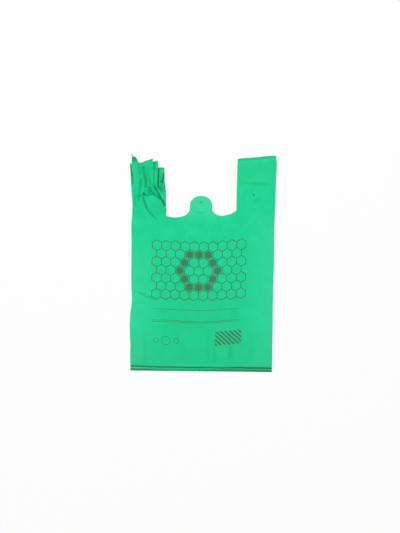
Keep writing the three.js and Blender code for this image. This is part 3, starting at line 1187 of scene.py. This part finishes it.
@dataclass(frozen=True)
class Lean:
    """Sideways shift of a part of the bag: how much at each place up it, and over which spans across it."""

    nodes: tuple[Point, ...]
    spans: tuple[Point, ...]

    def shift(self, x: Array, y: Array) -> Array:
        """Shift of points.

        Args:
            x: Places across the bag.
            y: Places up the bag.

        Returns:
            How far each point goes to the right.
        """
        amount = eased_line(y, self.nodes)
        for low, high in self.spans:
            amount = amount * ease(x, low, high)
        return amount


@dataclass(frozen=True)
class Lay:
    """How the cloth has slid and lifted as the bag lies, apart from the bunched handle.

    A span says where an ease starts and where it is full. Sizes ending in up count from the handles' foot.
    """

    leans: tuple[Lean, ...] = (
        Lean(
            (
                (9, 1.0), (30, 0.3), (52, 0.6), (73, -0.8), (95, -1.5), (114, -1.0), (148, 2.3),
                (180, 0.9), (201, 0.3), (245, 0.1), (270, 0.0), (300, -0.7), (318, 0.0),
            ),
            ((-112.0, -152.5),),
        ),
        Lean(
            (
                (0, -0.9), (185, -0.9), (227, 0.2), (312, 0.3), (362, 1.2), (405, 2.2), (440, 3.4),
                (457, 2.4),
            ),
            ((90.0, 152.5),),
        ),
        Lean(
            ((330, 0.6), (370, 0.6), (405, 0.9), (430, 1.4), (457, 1.8)),
            ((50.0, 66.0), (112.0, 72.0)),
        ),
    )
    mouth_skew: tuple[Point, ...] = (
        (-152, -2.4), (-110, -2.4), (-84, -2.6), (-76, -3.2), (-66, -3.0), (-56, -2.0), (-46, -1.0),
        (-33, 0.2), (-5, 0.0), (22, 0.8), (37, 1.9), (50, 4.5), (72, 6.5), (100, 4.5), (152, 3.0),
    )
    skew_start: float = 260.0
    handle_top: tuple[Point, ...] = (
        (70, -3.2), (80, -1.4), (93, -0.5), (112, 1.0), (131, 3.8), (144, 4.8), (152.5, 4.2),
    )
    handle_side: Point = (55.0, 70.0)
    handle_start_up: float = 6.0
    tab_span: Point = (340.0, 378.0)
    tab_side: Point = (34.0, 26.0)
    tab_shrink: float = 0.09
    tab_lift: float = 2.2

    def slide(self, x: Array, y: Array, die: Die) -> tuple[Array, Array, Array]:
        """Slides points of the flat bag.

        Args:
            x: Flat places across the bag.
            y: Flat places up the bag.
            die: Cutter that made the mouth.

        Returns:
            Places across and up the bag, and how far the tab lifts each point.
        """
        new_x = x
        for lean in self.leans:
            new_x = new_x + lean.shift(x, y)
        handle = ease(x, *self.handle_side) * ease(y, die.foot + self.handle_start_up, die.length)
        skew = eased_line(x, self.mouth_skew) * ease(y, self.skew_start, die.foot)
        new_y = y + skew + (eased_line(x, self.handle_top) - skew) * handle
        tab = ease(y, *self.tab_span) * ease(np.abs(x - die.shift), *self.tab_side)
        new_y = new_y - self.tab_shrink * np.maximum(y - die.tab_centre, 0.0) * (tab > 0.0)
        return new_x, new_y, self.tab_lift * tab


@dataclass(frozen=True)
class Waves:
    """Soft waves and ripples of the front, which end before its edges, its welds and the bunched handle.

    A span says where an ease starts and where it is full. Spans ending in up count from the handles' foot.
    """

    # A ripple's fourth value is painted shade beside its ridge.
    ripples: tuple[Ripple, ...] = (
        Ripple(((-92, 149), (-108, 157), (-134, 168), (-153, 173)), 2.0, 2.4, 0.16),
        Ripple(((-150, 164), (-132, 159), (-112, 150)), -1.2, 3.2),
        Ripple(((-126, 82), (-125, 46), (-124, 6)), 1.4, 3.6, 0.1),
        Ripple(((11, 96), (10, 50), (12, 8)), 0.8, 4.0, 0.06),
        Ripple(((25, 84), (24, 44), (26, 6)), 1.6, 4.2, 0.1),
        Ripple(((57, 96), (56, 50), (58, 8)), 1.8, 4.6, 0.12),
        Ripple(((-40, 70), (-44, 40), (-42, 10)), 0.6, 6.0, 0.05),
        Ripple(((98, 110), (102, 60), (99, 12)), 0.7, 5.0, 0.05),
        Ripple(((152, 402), (112, 401), (74, 404)), 0.9, 3.4, 0.12),
        Ripple(((127, 364), (116, 368), (107.4, 374)), 1.6, 2.6),
        Ripple(((95, 386), (102, 381), (108, 373)), 1.6, 2.2, 0.2),
        Ripple(((108, 373), (111, 364), (110, 354)), 1.2, 2.2, 0.06),
    )
    height: float = 0.35
    lengths_across: Point = (31.0, 140.0)
    lengths_along: Point = (74.0, 58.0)
    sway: float = 0.9
    deepest: float = 0.4
    edge_span: Point = (0.0, 12.0)
    weld_span: Point = (1.0, 9.0)
    bunch_side: Point = (-60.0, -90.0)
    bunch_up: Point = (-30.0, 0.0)

    def rise(self, x: Array, y: Array) -> Array:
        """Height of the waves and ripples.

        Args:
            x: Places across the bag.
            y: Places up the bag.

        Returns:
            The height at each point.
        """
        swing = np.sin(x / self.lengths_across[0] + self.sway * np.sin(y / self.lengths_along[0]))
        beat = np.cos(y / self.lengths_along[1] + x / self.lengths_across[1])
        waves = self.height * (1.0 + swing * beat)
        return np.maximum(waves + sum(ripple.rise(x, y)[0] for ripple in self.ripples), -self.deepest)

    def shade(self, x: Array, y: Array) -> Array:
        """Painted shade of the ripples at points of the flat bag."""
        return sum(ripple.rise(x, y)[1] for ripple in self.ripples)


@dataclass(frozen=True)
class Spacing:
    """Gaps between the points of the web's mesh, and the room they leave at folds and cut edges.

    The shares of a grid are of its own step. Each pair is the room at the folds and at the cut edges.
    """

    front: float = 3.7
    hidden: float = 7.0
    bunch: float = 1.3
    hidden_bunch: float = 2.4
    bunch_right: float = -62.0
    bunch_below: float = 20.0
    grid_half: float = 153.0
    grid_shares: Point = (0.5, 0.45)
    tuck_margins: Point = (0.6, 0.35)
    weld_half: float = 152.0
    weld_step: float = 4.0
    weld_gaps: tuple[float, ...] = (-4.0, -2.2, -1.2, 0.0, 1.2, 2.2, 4.0)
    weld_left: float = -77.0
    weld_margins: Point = (0.8, 0.8)
    fold_steps: int = 4
    fold_start: float = 4.0
    fold_row: float = 5.0
    fold_below: float = 28.0
    fold_left: float = -100.0
    fold_margin: float = 1.0
    edge_step: float = 1.0
    hole_margin: float = 2.0
    at_once: int = 2000
    nearest: float = 1e-5


@dataclass
class CarrierBag:
    """Bag made of one web: a gusseted tube, welded at both ends, die-cut, with its left handle bunched.

    A span says where an ease starts and where it is full. Spans ending in up count from the handles' foot.
    """

    die: Die = Die()
    lay: Lay = Lay()
    waves: Waves = Waves()
    spacing: Spacing = Spacing()
    handle: BunchedHandle = field(default_factory=BunchedHandle)
    half_width: float = 152.5
    outer_fold: float = 151.9
    inner_fold: float = 64.1
    lap_half: float = 6.0
    lap_run: float = 8.0
    lap_lift: float = 0.45
    cloth: float = 0.3
    pitch: float = 0.9
    bunched_pitch: float = 0.42
    weld_pitch: float = 0.34
    weld_half: float = 1.25
    weld_run: float = 4.5
    welds: tuple[float, float] = (6.6, 453.0)
    sag_gap: float = 2.0
    sag_run: float = 26.0
    sag_levels: float = 1.8
    tight_side: Point = (-60.0, -95.0)
    tight_up: Point = (-30.0, 15.0)
    bunch_side: Point = (-45.0, -62.0)
    bunch_up: Point = (-50.0, -20.0)
    bunch_right: float = -40.0
    bottom_shift: float = 0.6
    bottom_side: Point = (-40.0, 90.0)
    bottom_span: Point = (60.0, 0.0)
    fan_step: float = 0.55
    fan_span: Point = (6.0, 0.0)
    # Painted shade round the pin holes and along the slit.
    pin_shade: float = 0.5
    pin_spread: float = 2.0
    slit_shade: float = 0.24
    slit_spread: float = 1.3
    slit_middle: float = -3.3
    slit_span: Point = (8.0, 4.0)
    probe: float = 0.04
    front_margin: float = 0.1
    smooth_angle: float = 50.0
    print_sag: tuple[Point, ...] = (
        (-112, 0.4), (-64, -0.6), (-32, -2.2), (0, -2.6), (26, -1.4), (52, 1.2), (88, 4.6),
    )
    runs: list[Run] = field(init=False)

    def __post_init__(self) -> None:
        """Lays the stretches of the web end to end, from the lap at the back right round to the lap."""
        outer, inner, lap = self.outer_fold, self.inner_fold, self.lap_half
        layout = (
            (Ply.BACK, -lap, outer),
            (Ply.GUSSET_BACK, outer, inner),
            (Ply.GUSSET_FRONT, inner, outer),
            (Ply.FRONT, outer, -outer),
            (Ply.GUSSET_FRONT, -outer, -inner),
            (Ply.GUSSET_BACK, -inner, -outer),
            (Ply.BACK, -outer, lap),
        )
        self.runs, start = [], 0.0
        for ply, x0, x1 in layout:
            step = self.spacing.front if ply is Ply.FRONT else self.spacing.hidden
            self.runs.append(Run(ply, start, x0, x1, step))
            start = self.runs[-1].end + self.fold_length

    @property
    def fold_length(self) -> float:
        """Cloth that goes round one fold."""
        return math.pi * self.pitch / 2.0

    @property
    def web_width(self) -> float:
        """Width of the web that the bag is folded from."""
        return self.runs[-1].end

    @property
    def front(self) -> Run:
        """Stretch of the web that makes the front."""
        return next(run for run in self.runs if run.ply is Ply.FRONT)

    def round_fold(self, run: Run) -> list[float]:
        """Points round the fold after a stretch, ends left out.

        Args:
            run: The stretch.

        Returns:
            Their places along the web.
        """
        if run is self.runs[-1]:
            return []
        part = self.fold_length / self.spacing.fold_steps
        return [run.end + part * step for step in range(1, self.spacing.fold_steps)]

    def top_outline(self) -> list[Point]:
        """Makes the cut upper edge of the web.

        Returns:
            Its points, along the web.
        """
        top = self.die.top_line()
        places, heights = np.array(top).T
        line: list[Point] = []
        for run in self.runs:
            low, high = sorted((run.x0, run.x1))
            ends = [(limit, float(np.interp(limit, places, heights))) for limit in (low, high)]
            cut = [ends[0], *[point for point in top if low < point[0] < high], ends[1]]
            cut = cut if run.way > 0 else cut[::-1]
            line += [(run.along_web(x), y) for x, y in cut]
            line += [(place, cut[-1][1]) for place in self.round_fold(run)]
        return line

    def outline(self) -> list[Point]:
        """Makes the whole cut edge of the web, with the slit's notches in both lap edges.

        Returns:
            Its points as a closed loop, along the web.
        """
        first, last, step = self.runs[0], self.runs[-1], self.spacing.hidden
        bottom: list[Point] = []
        for run in self.runs:
            bottom += spaced([(run.start, 0.0), (run.end, 0.0)], run.step)
            bottom += [(place, 0.0) for place in self.round_fold(run)]
        top = self.top_outline()
        slip = self.die.slips[Ply.BACK.value][1]
        low, high = self.die.slit_line(-self.lap_half, self.half_width, slip)
        left = spaced([(first.start, 0.0), (first.start, low[0][1])], step)
        left += [(first.along_web(x), y) for x, y in low[1:] + high[::-1]]
        left += spaced([left[-1], top[0]], step)[1:]
        low, high = self.die.slit_line(-self.half_width, self.lap_half, slip)
        right = spaced([(last.end, 0.0), (last.end, low[-1][1])], step)
        right += [(last.along_web(x), y) for x, y in low[-2::-1] + high]
        right += spaced([right[-1], top[-1]], step)[1:]
        return bottom + right[1:] + top[-2::-1] + left[-2:0:-1]

    def holes(self) -> list[list[Point]]:
        """Makes the loops that the pins and the slit cut inside the web.

        Returns:
            Points of each loop, along the web.
        """
        loops, margin = [], self.spacing.hole_margin
        angles = [math.tau * i / self.die.pin_steps for i in range(self.die.pin_steps)]
        for run in self.runs:
            low, high = sorted((run.x0, run.x1))
            for pin in self.die.spots(run.ply):
                if low + margin < pin[0] < high - margin:
                    ring = [ring_point(pin, self.die.pin_radius, angle) for angle in angles]
                    loops.append([(run.along_web(x), y) for x, y in ring])
            if run.ply is Ply.FRONT:
                lower, upper = self.die.slit_line(low, high, 0.0)
                loops.append([(run.along_web(x), y) for x, y in lower + upper[::-1]])
        return loops

    def grid(self, step: float, bunched: bool) -> Array:
        """Triangular grid over the bunched handle, or over all the rest of the bag.

        Args:
            step: Gap between points.
            bunched: Whether the bunched handle is wanted.

        Returns:
            Places across and up the bag, in two columns.
        """
        spacing = self.spacing
        rows = np.arange(step, self.die.length, step * math.sqrt(0.75))
        columns = np.arange(-spacing.grid_half, spacing.grid_half, step)
        grid = np.array([(x + (j % 2) * step / 2, y) for j, y in enumerate(rows) for x in columns])
        inside = (grid[:, 0] < spacing.bunch_right) & (grid[:, 1] > self.die.foot - spacing.bunch_below)
        return grid[inside if bunched else ~inside]

    def bunch_grid(self, run: Run, step: float) -> Array:
        """Grid between the tucks of the bunched handle, the close one where it shows or is creased.

        Args:
            run: Stretch of the web.
            step: Gap between points.

        Returns:
            Places across and up the bag, in two columns.
        """
        grid = self.grid(step, True)
        across, along = grid[:, 0] + self.half_width, grid[:, 1] - self.die.foot
        close = self.handle.creased(across, along) | (run.ply is Ply.FRONT)
        close = close if step == self.spacing.bunch else ~close
        return grid[self.handle.beside_tucks(across, along) & close]

    def weld_rows(self, weld: float) -> Array:
        """Rows of points along a weld, with none on the bunched handle.

        Args:
            weld: Height of the weld up the bag.

        Returns:
            Places across and up the bag, in two columns.
        """
        spacing = self.spacing
        lines = [weld + gap for gap in spacing.weld_gaps if 0.0 < weld + gap < self.die.length]
        columns = np.arange(-spacing.weld_half, spacing.weld_half, spacing.weld_step)
        rows = np.array([(x, y) for y in lines for x in columns])
        return rows[(rows[:, 0] > spacing.weld_left) | (rows[:, 1] < self.die.foot)]

    def fold_rows(self) -> list[Point]:
        """Rows of points that run up every fold, closer at the bunched handle.

        Returns:
            The points, along the web.
        """
        spacing, split, found = self.spacing, self.die.foot - self.spacing.fold_below, []
        places, heights = np.array(self.top_outline()).T
        turns = [place for run in self.runs for place in self.round_fold(run)]
        limits = [limit for run in self.runs for limit in (run.start, run.end)]
        low = np.arange(spacing.fold_start, split, spacing.fold_row)
        for place in turns + limits[1:-1]:
            across, _ = self.plan(np.array([place]), np.array([self.die.foot]))
            step = spacing.bunch if across[0] < spacing.fold_left else spacing.fold_row
            top = np.interp(place, places, heights) - spacing.fold_margin
            rows = np.concatenate([low, np.arange(split, self.die.length, step)])
            found += [(place, y) for y in rows if y < top]
        return found

    def lattice(self) -> list[Point]:
        """Makes the points inside the web, closer where the cloth bends and where it shows.

        Returns:
            The points, along the web.
        """
        spacing, found = self.spacing, []
        edge = np.array(spaced(self.die.top_line(), spacing.edge_step))
        for run in self.runs:
            grids = [(run.step, self.grid(run.step, False))]
            at_left = min(run.x0, run.x1) < spacing.bunch_right
            if at_left:
                steps = (spacing.hidden_bunch, spacing.bunch)
                grids += [(step, self.bunch_grid(run, step)) for step in steps]
            for step, grid in grids:
                found += self.kept(run, grid, edge, *[step * share for share in spacing.grid_shares])
            if at_left:
                rows = self.handle.rows(spacing.bunch, 1 if run.ply is Ply.FRONT else 2)
                rows = rows + np.array([-self.half_width, self.die.foot])
                found += self.kept(run, rows, edge, *spacing.tuck_margins)
            for weld in self.welds:
                found += self.kept(run, self.weld_rows(weld), edge, *spacing.weld_margins)
        return found + self.fold_rows()

    def kept(self, run: Run, grid: Array, edge: Array, side: float, margin: float) -> list[Point]:
        """Picks the points of a grid that lie well inside one stretch of the web.

        Args:
            run: The stretch.
            grid: Places across and up the bag, in two columns.
            edge: Points of the bag's upper outline.
            side: Gap to keep from the folds and the bottom edge.
            margin: Gap to keep from the cut edges.

        Returns:
            The points that are left, along the web.
        """
        low, high = sorted((run.x0, run.x1))
        x, y = grid.T
        grid = grid[(x > low + side) & (x < high - side) & (y > side) & (y < np.interp(x, *edge.T))]
        if not len(grid):
            return []
        parts = np.array_split(grid, max(1, len(grid) // self.spacing.at_once))
        gaps = [np.hypot(part[:, :1] - edge[:, 0], part[:, 1:] - edge[:, 1]).min(axis=1) for part in parts]
        gap = np.concatenate(gaps)
        x, y = grid.T
        for pin_x, pin_y in self.die.spots(run.ply):
            gap = np.minimum(gap, np.hypot(x - pin_x, y - pin_y) - self.die.pin_radius)
        clear = ~self.die.near_slit(x, y - self.die.slips[run.ply.value][1])
        return [(run.along_web(x), y) for x, y in grid[(gap > margin) & clear]]

    def plan(self, web: Array, y: Array) -> tuple[Array, Array]:
        """Folds the web up, flat.

        Args:
            web: Places along the web.
            y: Places up the bag.

        Returns:
            Places across the bag, and places in the stack, where 0 is the back and 3 the front.
        """
        x, level = np.zeros_like(web), np.zeros_like(web)
        for run, after in zip(self.runs, self.runs[1:] + [None]):
            here = (web >= run.start - SMALL) & (web <= run.end + SMALL)
            x[here] = run.x0 + run.way * (web[here] - run.start)
            level[here] = run.ply.value
            if after:
                turn = (web > run.end + SMALL) & (web < after.start - SMALL)
                angle = (web[turn] - run.end) / self.fold_length * math.pi
                bulge = self.gap_at(np.full(turn.sum(), run.x1), y[turn]) / 2.0
                x[turn] = run.x1 + run.way * bulge * np.sin(angle)
                climb = after.ply.value - run.ply.value
                level[turn] = run.ply.value + climb * (1.0 - np.cos(angle)) / 2.0
        lap_start = -self.lap_half - self.lap_run
        lap = web > self.runs[-1].along_web(lap_start)
        level[lap] += self.lap_lift * ease(x[lap], lap_start, -self.lap_half)
        front = (web > self.front.start) & (web < self.front.end)
        sag = ease(self.inner_fold - self.sag_gap - np.abs(x), 0.0, self.sag_run) * self.sag_levels
        level[front] -= sag[front]
        return x, level

    def off_welds(self, y: Array) -> Array:
        """Distance of places up the bag from the nearer weld."""
        return np.min([np.abs(y - weld) for weld in self.welds], axis=0)

    def gap_at(self, x: Array, y: Array) -> Array:
        """Gap between the middles of two plies.

        Args:
            x: Places across the bag.
            y: Places up the bag.

        Returns:
            The gap at each place.
        """
        away = self.off_welds(y) - self.weld_half
        bunched = ease(x, *self.tight_side) * ease(y - self.die.foot, *self.tight_up)
        loose = self.pitch + (self.bunched_pitch - self.pitch) * bunched
        return self.weld_pitch + (loose - self.weld_pitch) * ease(away, 0.0, self.weld_run)

    def lie(self, x: Array, y: Array) -> tuple[Array, Array, Array]:
        """Middle of the stack as the bag lies.

        Args:
            x: Flat places across the bag.
            y: Flat places up the bag.

        Returns:
            Places across and up the bag, and heights over the table.
        """
        foot = self.die.foot
        new_x, new_y, lift = self.lay.slide(x, y, self.die)
        height = self.cloth / 2.0 + MIDDLE_LEVEL * self.gap_at(x, y) + lift
        bunch = (x < self.bunch_right) & (y > foot + self.bunch_up[0])
        if bunch.any():
            across, along, rise, _ = self.handle.settle(x[bunch] + self.half_width, y[bunch] - foot)
            fade = ease(x[bunch], *self.bunch_side)
            into = ease(y[bunch] - foot, *self.bunch_up)
            new_x[bunch] += (across - self.half_width - x[bunch]) * fade * into
            new_y[bunch] += (along + foot - y[bunch]) * fade
            height[bunch] += rise
        return new_x, new_y, height

    def fold_shade(self, x: Array, y: Array, front: Array) -> Array:
        """Painted shade of the bunched handle's folds, of the ripples, round the pin holes and along the
        slit.

        Args:
            x: Flat places across the bag.
            y: Flat places up the bag.
            front: Which points are on the front, which alone has ripples.

        Returns:
            Share of the painted shade's colour at each point, or of painted highlight where negative.
        """
        die = self.die
        shade = self.handle.settle(x + self.half_width, y - die.foot)[3] + self.waves.shade(x, y) * front
        # Painted shade round each pin hole, then along the slit.
        for pin_x, pin_y in die.pins:
            away = np.hypot(x - pin_x, y - pin_y)
            shade = shade + self.pin_shade * np.exp(-((away / self.pin_spread) ** 2))
        away = np.hypot(x - die.shift, y - die.slit_centre) - die.slit_radius
        beside = ease(np.abs(x - die.shift - self.slit_middle), *self.slit_span)
        shade = shade + self.slit_shade * np.exp(-((away / self.slit_spread) ** 2)) * beside
        return np.clip(shade, -1.0, 1.0)

    def relief(self, x: Array, y: Array) -> Array:
        """Soft waves and ripples of the front.

        Args:
            x: Places across the bag.
            y: Places up the bag.

        Returns:
            How far the front stands off the stack.
        """
        waves = self.waves
        bunched = ease(x, *waves.bunch_side) * ease(y - self.die.foot, *waves.bunch_up)
        edge = ease(self.half_width - np.abs(x), *waves.edge_span)
        return waves.rise(x, y) * (1.0 - bunched) * edge * ease(self.off_welds(y), *waves.weld_span)

    def shape(self, web: Array, y: Array) -> tuple[Array, Array]:
        """Places of points of the web once the bag lies on the table.

        Args:
            web: Places along the web.
            y: Places up the bag.

        Returns:
            Points in the frame, in metres, and places across the flat bag.
        """
        x, level = self.plan(web, y)
        here = np.stack(self.lie(x, y), axis=1)
        across, along = (
            np.stack(self.lie(x + right, y + up), axis=1) - np.stack(self.lie(x - right, y - up), axis=1)
            for right, up in ((self.probe, 0.0), (0.0, self.probe))
        )
        normal = np.cross(across, along)
        normal = normal / np.linalg.norm(normal, axis=1)[:, None]
        square = self.handle.square(x + self.half_width, y - self.die.foot)[:, None]
        normal = normal * square + np.array([0.0, 0.0, 1.0]) * (1.0 - square)
        points = here + normal * ((level - MIDDLE_LEVEL) * self.gap_at(x, y))[:, None]
        points[:, 2] += self.relief(x, y) * level / TOP_LEVEL
        points[:, 1] += self.bottom_shift * ease(x, *self.bottom_side) * ease(y, *self.bottom_span)
        points[:, 1] -= np.clip(TOP_LEVEL - level, 0.0, TOP_LEVEL) * self.fan_step * ease(y, *self.fan_span)
        points[:, 2] = np.maximum(points[:, 2], self.cloth / 2.0)
        return (points - np.array([0.0, FRAME_BACK, 0.0])) * MM, x

    def drawn(self, points: Array) -> Array:
        """Points of the web with the bunched handle's drops taken off, so that its tucks mesh squarely.

        Args:
            points: Places along the web and up the bag, in two columns.

        Returns:
            The same points, drawn down as the handle is.
        """
        x, _ = self.plan(points[:, 0], points[:, 1])
        _, along = self.handle.warp(x + self.half_width, points[:, 1] - self.die.foot)
        return np.stack([points[:, 0], along + self.die.foot], axis=1)

    def web_mesh(self) -> tuple[Array, Array, Array]:
        """Meshes the flat web.

        Returns:
            Points along the web and up the bag, triangles, and whether each point is on a cut edge.
        """
        loops = [self.outline(), *self.holes()]
        points: list[Point] = []
        edges: list[tuple[int, int]] = []
        for loop in loops:
            first = len(points)
            points += loop
            edges += [(first + i, first + (i + 1) % len(loop)) for i in range(len(loop))]
        rim = len(loops[0])
        points += self.lattice()
        laid = self.drawn(np.array(points))
        _, _, faces, origin, _, _ = delaunay_2d_cdt(laid.tolist(), edges, [], 0, self.spacing.nearest)
        flat = np.array([points[places[0]] for places in origin])
        tris = np.array(faces, dtype=int)
        middle = flat[tris].mean(axis=1)
        top = np.array(self.top_outline())
        x, _ = self.plan(middle[:, 0], middle[:, 1])
        keep = middle[:, 1] < np.interp(middle[:, 0], top[:, 0], top[:, 1])
        keep &= (middle[:, 0] > 0.0) & (middle[:, 0] < self.web_width) & (middle[:, 1] > 0.0)
        for run in self.runs:
            here = (middle[:, 0] > run.start) & (middle[:, 0] < run.end)
            for pin_x, pin_y in self.die.spots(run.ply):
                away = np.hypot(x - pin_x, middle[:, 1] - pin_y)
                keep &= ~here | (away > self.die.pin_radius * self.die.pin_share)
            if run.ply in (Ply.FRONT, Ply.BACK):
                keep &= ~here | ~self.die.in_slit(x, middle[:, 1] - self.die.slips[run.ply.value][1])
        used, tris = np.unique(tris[keep], return_inverse=True)
        cut = np.array([any(place < rim for place in origin[i]) for i in used])
        return flat[used], tris.reshape(-1, 3), cut

    def build(self) -> bpy.types.Object:
        """Makes the folded bag.

        Returns:
            The bag's object, with its cloth's thickness applied.
        """
        flat, tris, cut = self.web_mesh()
        points, x = self.shape(flat[:, 0], flat[:, 1])
        mesh = bpy.data.meshes.new("tshirt_bag_cloth")
        mesh.from_pydata(points.tolist(), [], tris[:, ::-1].tolist())
        margin = self.front_margin
        front = (flat[:, 0] > self.front.start - margin) & (flat[:, 0] < self.front.end + margin)
        layers = {
            "front_ply": front,
            "cut_edge": cut,
            # Painted shade and painted highlights, kept for the material.
            "fold_shade": self.fold_shade(x, flat[:, 1], front),
            "print_lift": eased_line(x, self.print_sag),
        }
        for name, values in layers.items():
            layer = mesh.attributes.new(name, "FLOAT", "POINT")
            layer.data.foreach_set("value", values.astype(np.float32))
        corners = np.empty(len(mesh.loops), dtype=np.int32)
        mesh.loops.foreach_get("vertex_index", corners)
        laid = np.stack([x, flat[:, 1]], axis=1)[corners] * MM
        mesh.uv_layers.new(name="flat").data.foreach_set("uv", laid.astype(np.float32).ravel())
        bag = bpy.data.objects.new("tshirt_bag_cloth", mesh)
        bpy.context.scene.collection.objects.link(bag)
        self.thicken(bag)
        return bag

    def thicken(self, bag: bpy.types.Object) -> None:
        """Gives the cloth its thickness and smooths its shading.

        Args:
            bag: The bag's object.
        """
        bpy.ops.object.select_all(action="DESELECT")
        bag.select_set(True)
        bpy.context.view_layer.objects.active = bag
        wall = bag.modifiers.new("wall", "SOLIDIFY")
        wall.thickness = self.cloth * MM
        wall.offset = 0.0
        wall.material_offset = 1
        for name in ("cloth_out", "cloth_in"):
            bag.data.materials.append(bpy.data.materials.new(name))
        bpy.ops.object.modifier_apply(modifier=wall.name)
        bpy.ops.object.shade_smooth_by_angle(angle=math.radians(self.smooth_angle))

    def dress(self, bag: bpy.types.Object) -> None:
        """Gives the bag its printed outside and its plain inside."""
        bag.data.materials[0] = Dresser(ClothFinish("printed_cloth", True)).build()
        bag.data.materials[1] = Dresser(ClothFinish("plain_cloth", False)).build()

    def declare(self, bag: bpy.types.Object) -> None:
        """Tells the frame what the bag is.

        Args:
            bag: The bag's object.
        """
        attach(bag, "root")
        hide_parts("tshirt_bag")


@dataclass
class Studio:
    """Pale floor, soft light and the camera straight above the bag."""

    world_strength: float = 0.57
    key_power: float = 112.0
    key_size: float = 1.8
    key_place: Triple = (-0.8, 2.3, 3.8)
    white: Colour = (1.0, 1.0, 1.0, 1.0)
    floor_colour: Colour = (0.9, 0.9, 0.9, 1.0)
    floor_half: float = 6.0
    floor_drop: float = 0.0002
    shadow_share: float = 0.16
    lens: float = 100.0
    sensor: float = 36.0
    picture_height: int = 533
    pixel: float = 2.14
    aim: Point = (-5.4, -7.2)
    roll: float = 0.8

    def light(self) -> None:
        """Makes the world's even light and the key lamp."""
        world = bpy.data.worlds.new("studio")
        bpy.context.scene.world = world
        bench = Bench(world)
        seen = bench.add("ShaderNodeLightPath").outputs["Is Camera Ray"]
        span = {"Value": seen, "To Min": self.world_strength, "To Max": 1.0}
        level = bench.add("ShaderNodeMapRange", span).outputs[0]
        sky = bench.add("ShaderNodeBackground", {"Color": self.white, "Strength": level})
        bench.add("ShaderNodeOutputWorld", {"Surface": sky.outputs[0]})
        lamp = bpy.data.lights.new("key", "AREA")
        lamp.energy = self.key_power
        lamp.size = self.key_size
        key = bpy.data.objects.new("key", lamp)
        key.location = self.key_place
        away = np.array(self.key_place)
        key.rotation_euler = (
            math.acos(away[2] / float(np.linalg.norm(away))), 0.0, math.atan2(away[0], -away[1]),
        )
        bpy.context.scene.collection.objects.link(key)

    def floor(self) -> None:
        """Makes the floor, which shows white and keeps a soft shadow."""
        half = self.floor_half
        mesh = bpy.data.meshes.new("floor")
        corners = [(-half, -half), (half, -half), (half, half), (-half, half)]
        mesh.from_pydata([(x, y, -self.floor_drop) for x, y in corners], [], [(0, 1, 2, 3)])
        floor = bpy.data.objects.new("floor", mesh)
        bpy.context.scene.collection.objects.link(floor)
        bench = Bench(bpy.data.materials.new("pale_floor"))
        rays = bench.add("ShaderNodeLightPath")
        kinds = ("Is Camera Ray", "Is Glossy Ray", "Is Transmission Ray")
        seen = bench.most(*[rays.outputs[kind] for kind in kinds])
        matt = bench.add("ShaderNodeBsdfDiffuse", {"Color": self.floor_colour})
        glow = bench.add("ShaderNodeEmission", {"Color": self.white, "Strength": 1.0})
        share = bench.times(seen, 1.0 - self.shadow_share)
        both = bench.add("ShaderNodeMixShader", {0: share, 1: matt.outputs[0], 2: glow.outputs[0]})
        bench.add("ShaderNodeOutputMaterial", {"Surface": both.outputs[0]})
        mesh.materials.append(bench.owner)

    def camera(self) -> None:
        """Makes the camera that looks straight down."""
        data = bpy.data.cameras.new("camera")
        data.lens = self.lens
        data.sensor_width = self.sensor
        height = self.picture_height * self.pixel * MM * self.lens / self.sensor
        camera = bpy.data.objects.new("camera", data)
        camera.location = (self.aim[0] * MM, self.aim[1] * MM, height)
        camera.rotation_euler = (0.0, 0.0, math.radians(self.roll))
        bpy.context.scene.collection.objects.link(camera)
        bpy.context.scene.camera = camera

    def build(self) -> None:
        """Sets up the whole studio."""
        self.light()
        self.floor()
        self.camera()
        bpy.context.scene.view_settings.view_transform = "Standard"


def main() -> None:
    """Builds the bag and its studio."""
    logging.basicConfig(level=logging.INFO, format="%(message)s")
    bag_maker = CarrierBag()
    bag = bag_maker.build()
    log.info("%s: %d faces", bag.name, len(bag.data.polygons))
    bag_maker.dress(bag)
    bag_maker.declare(bag)
    Studio().build()


if __name__ == "__main__":
    main()
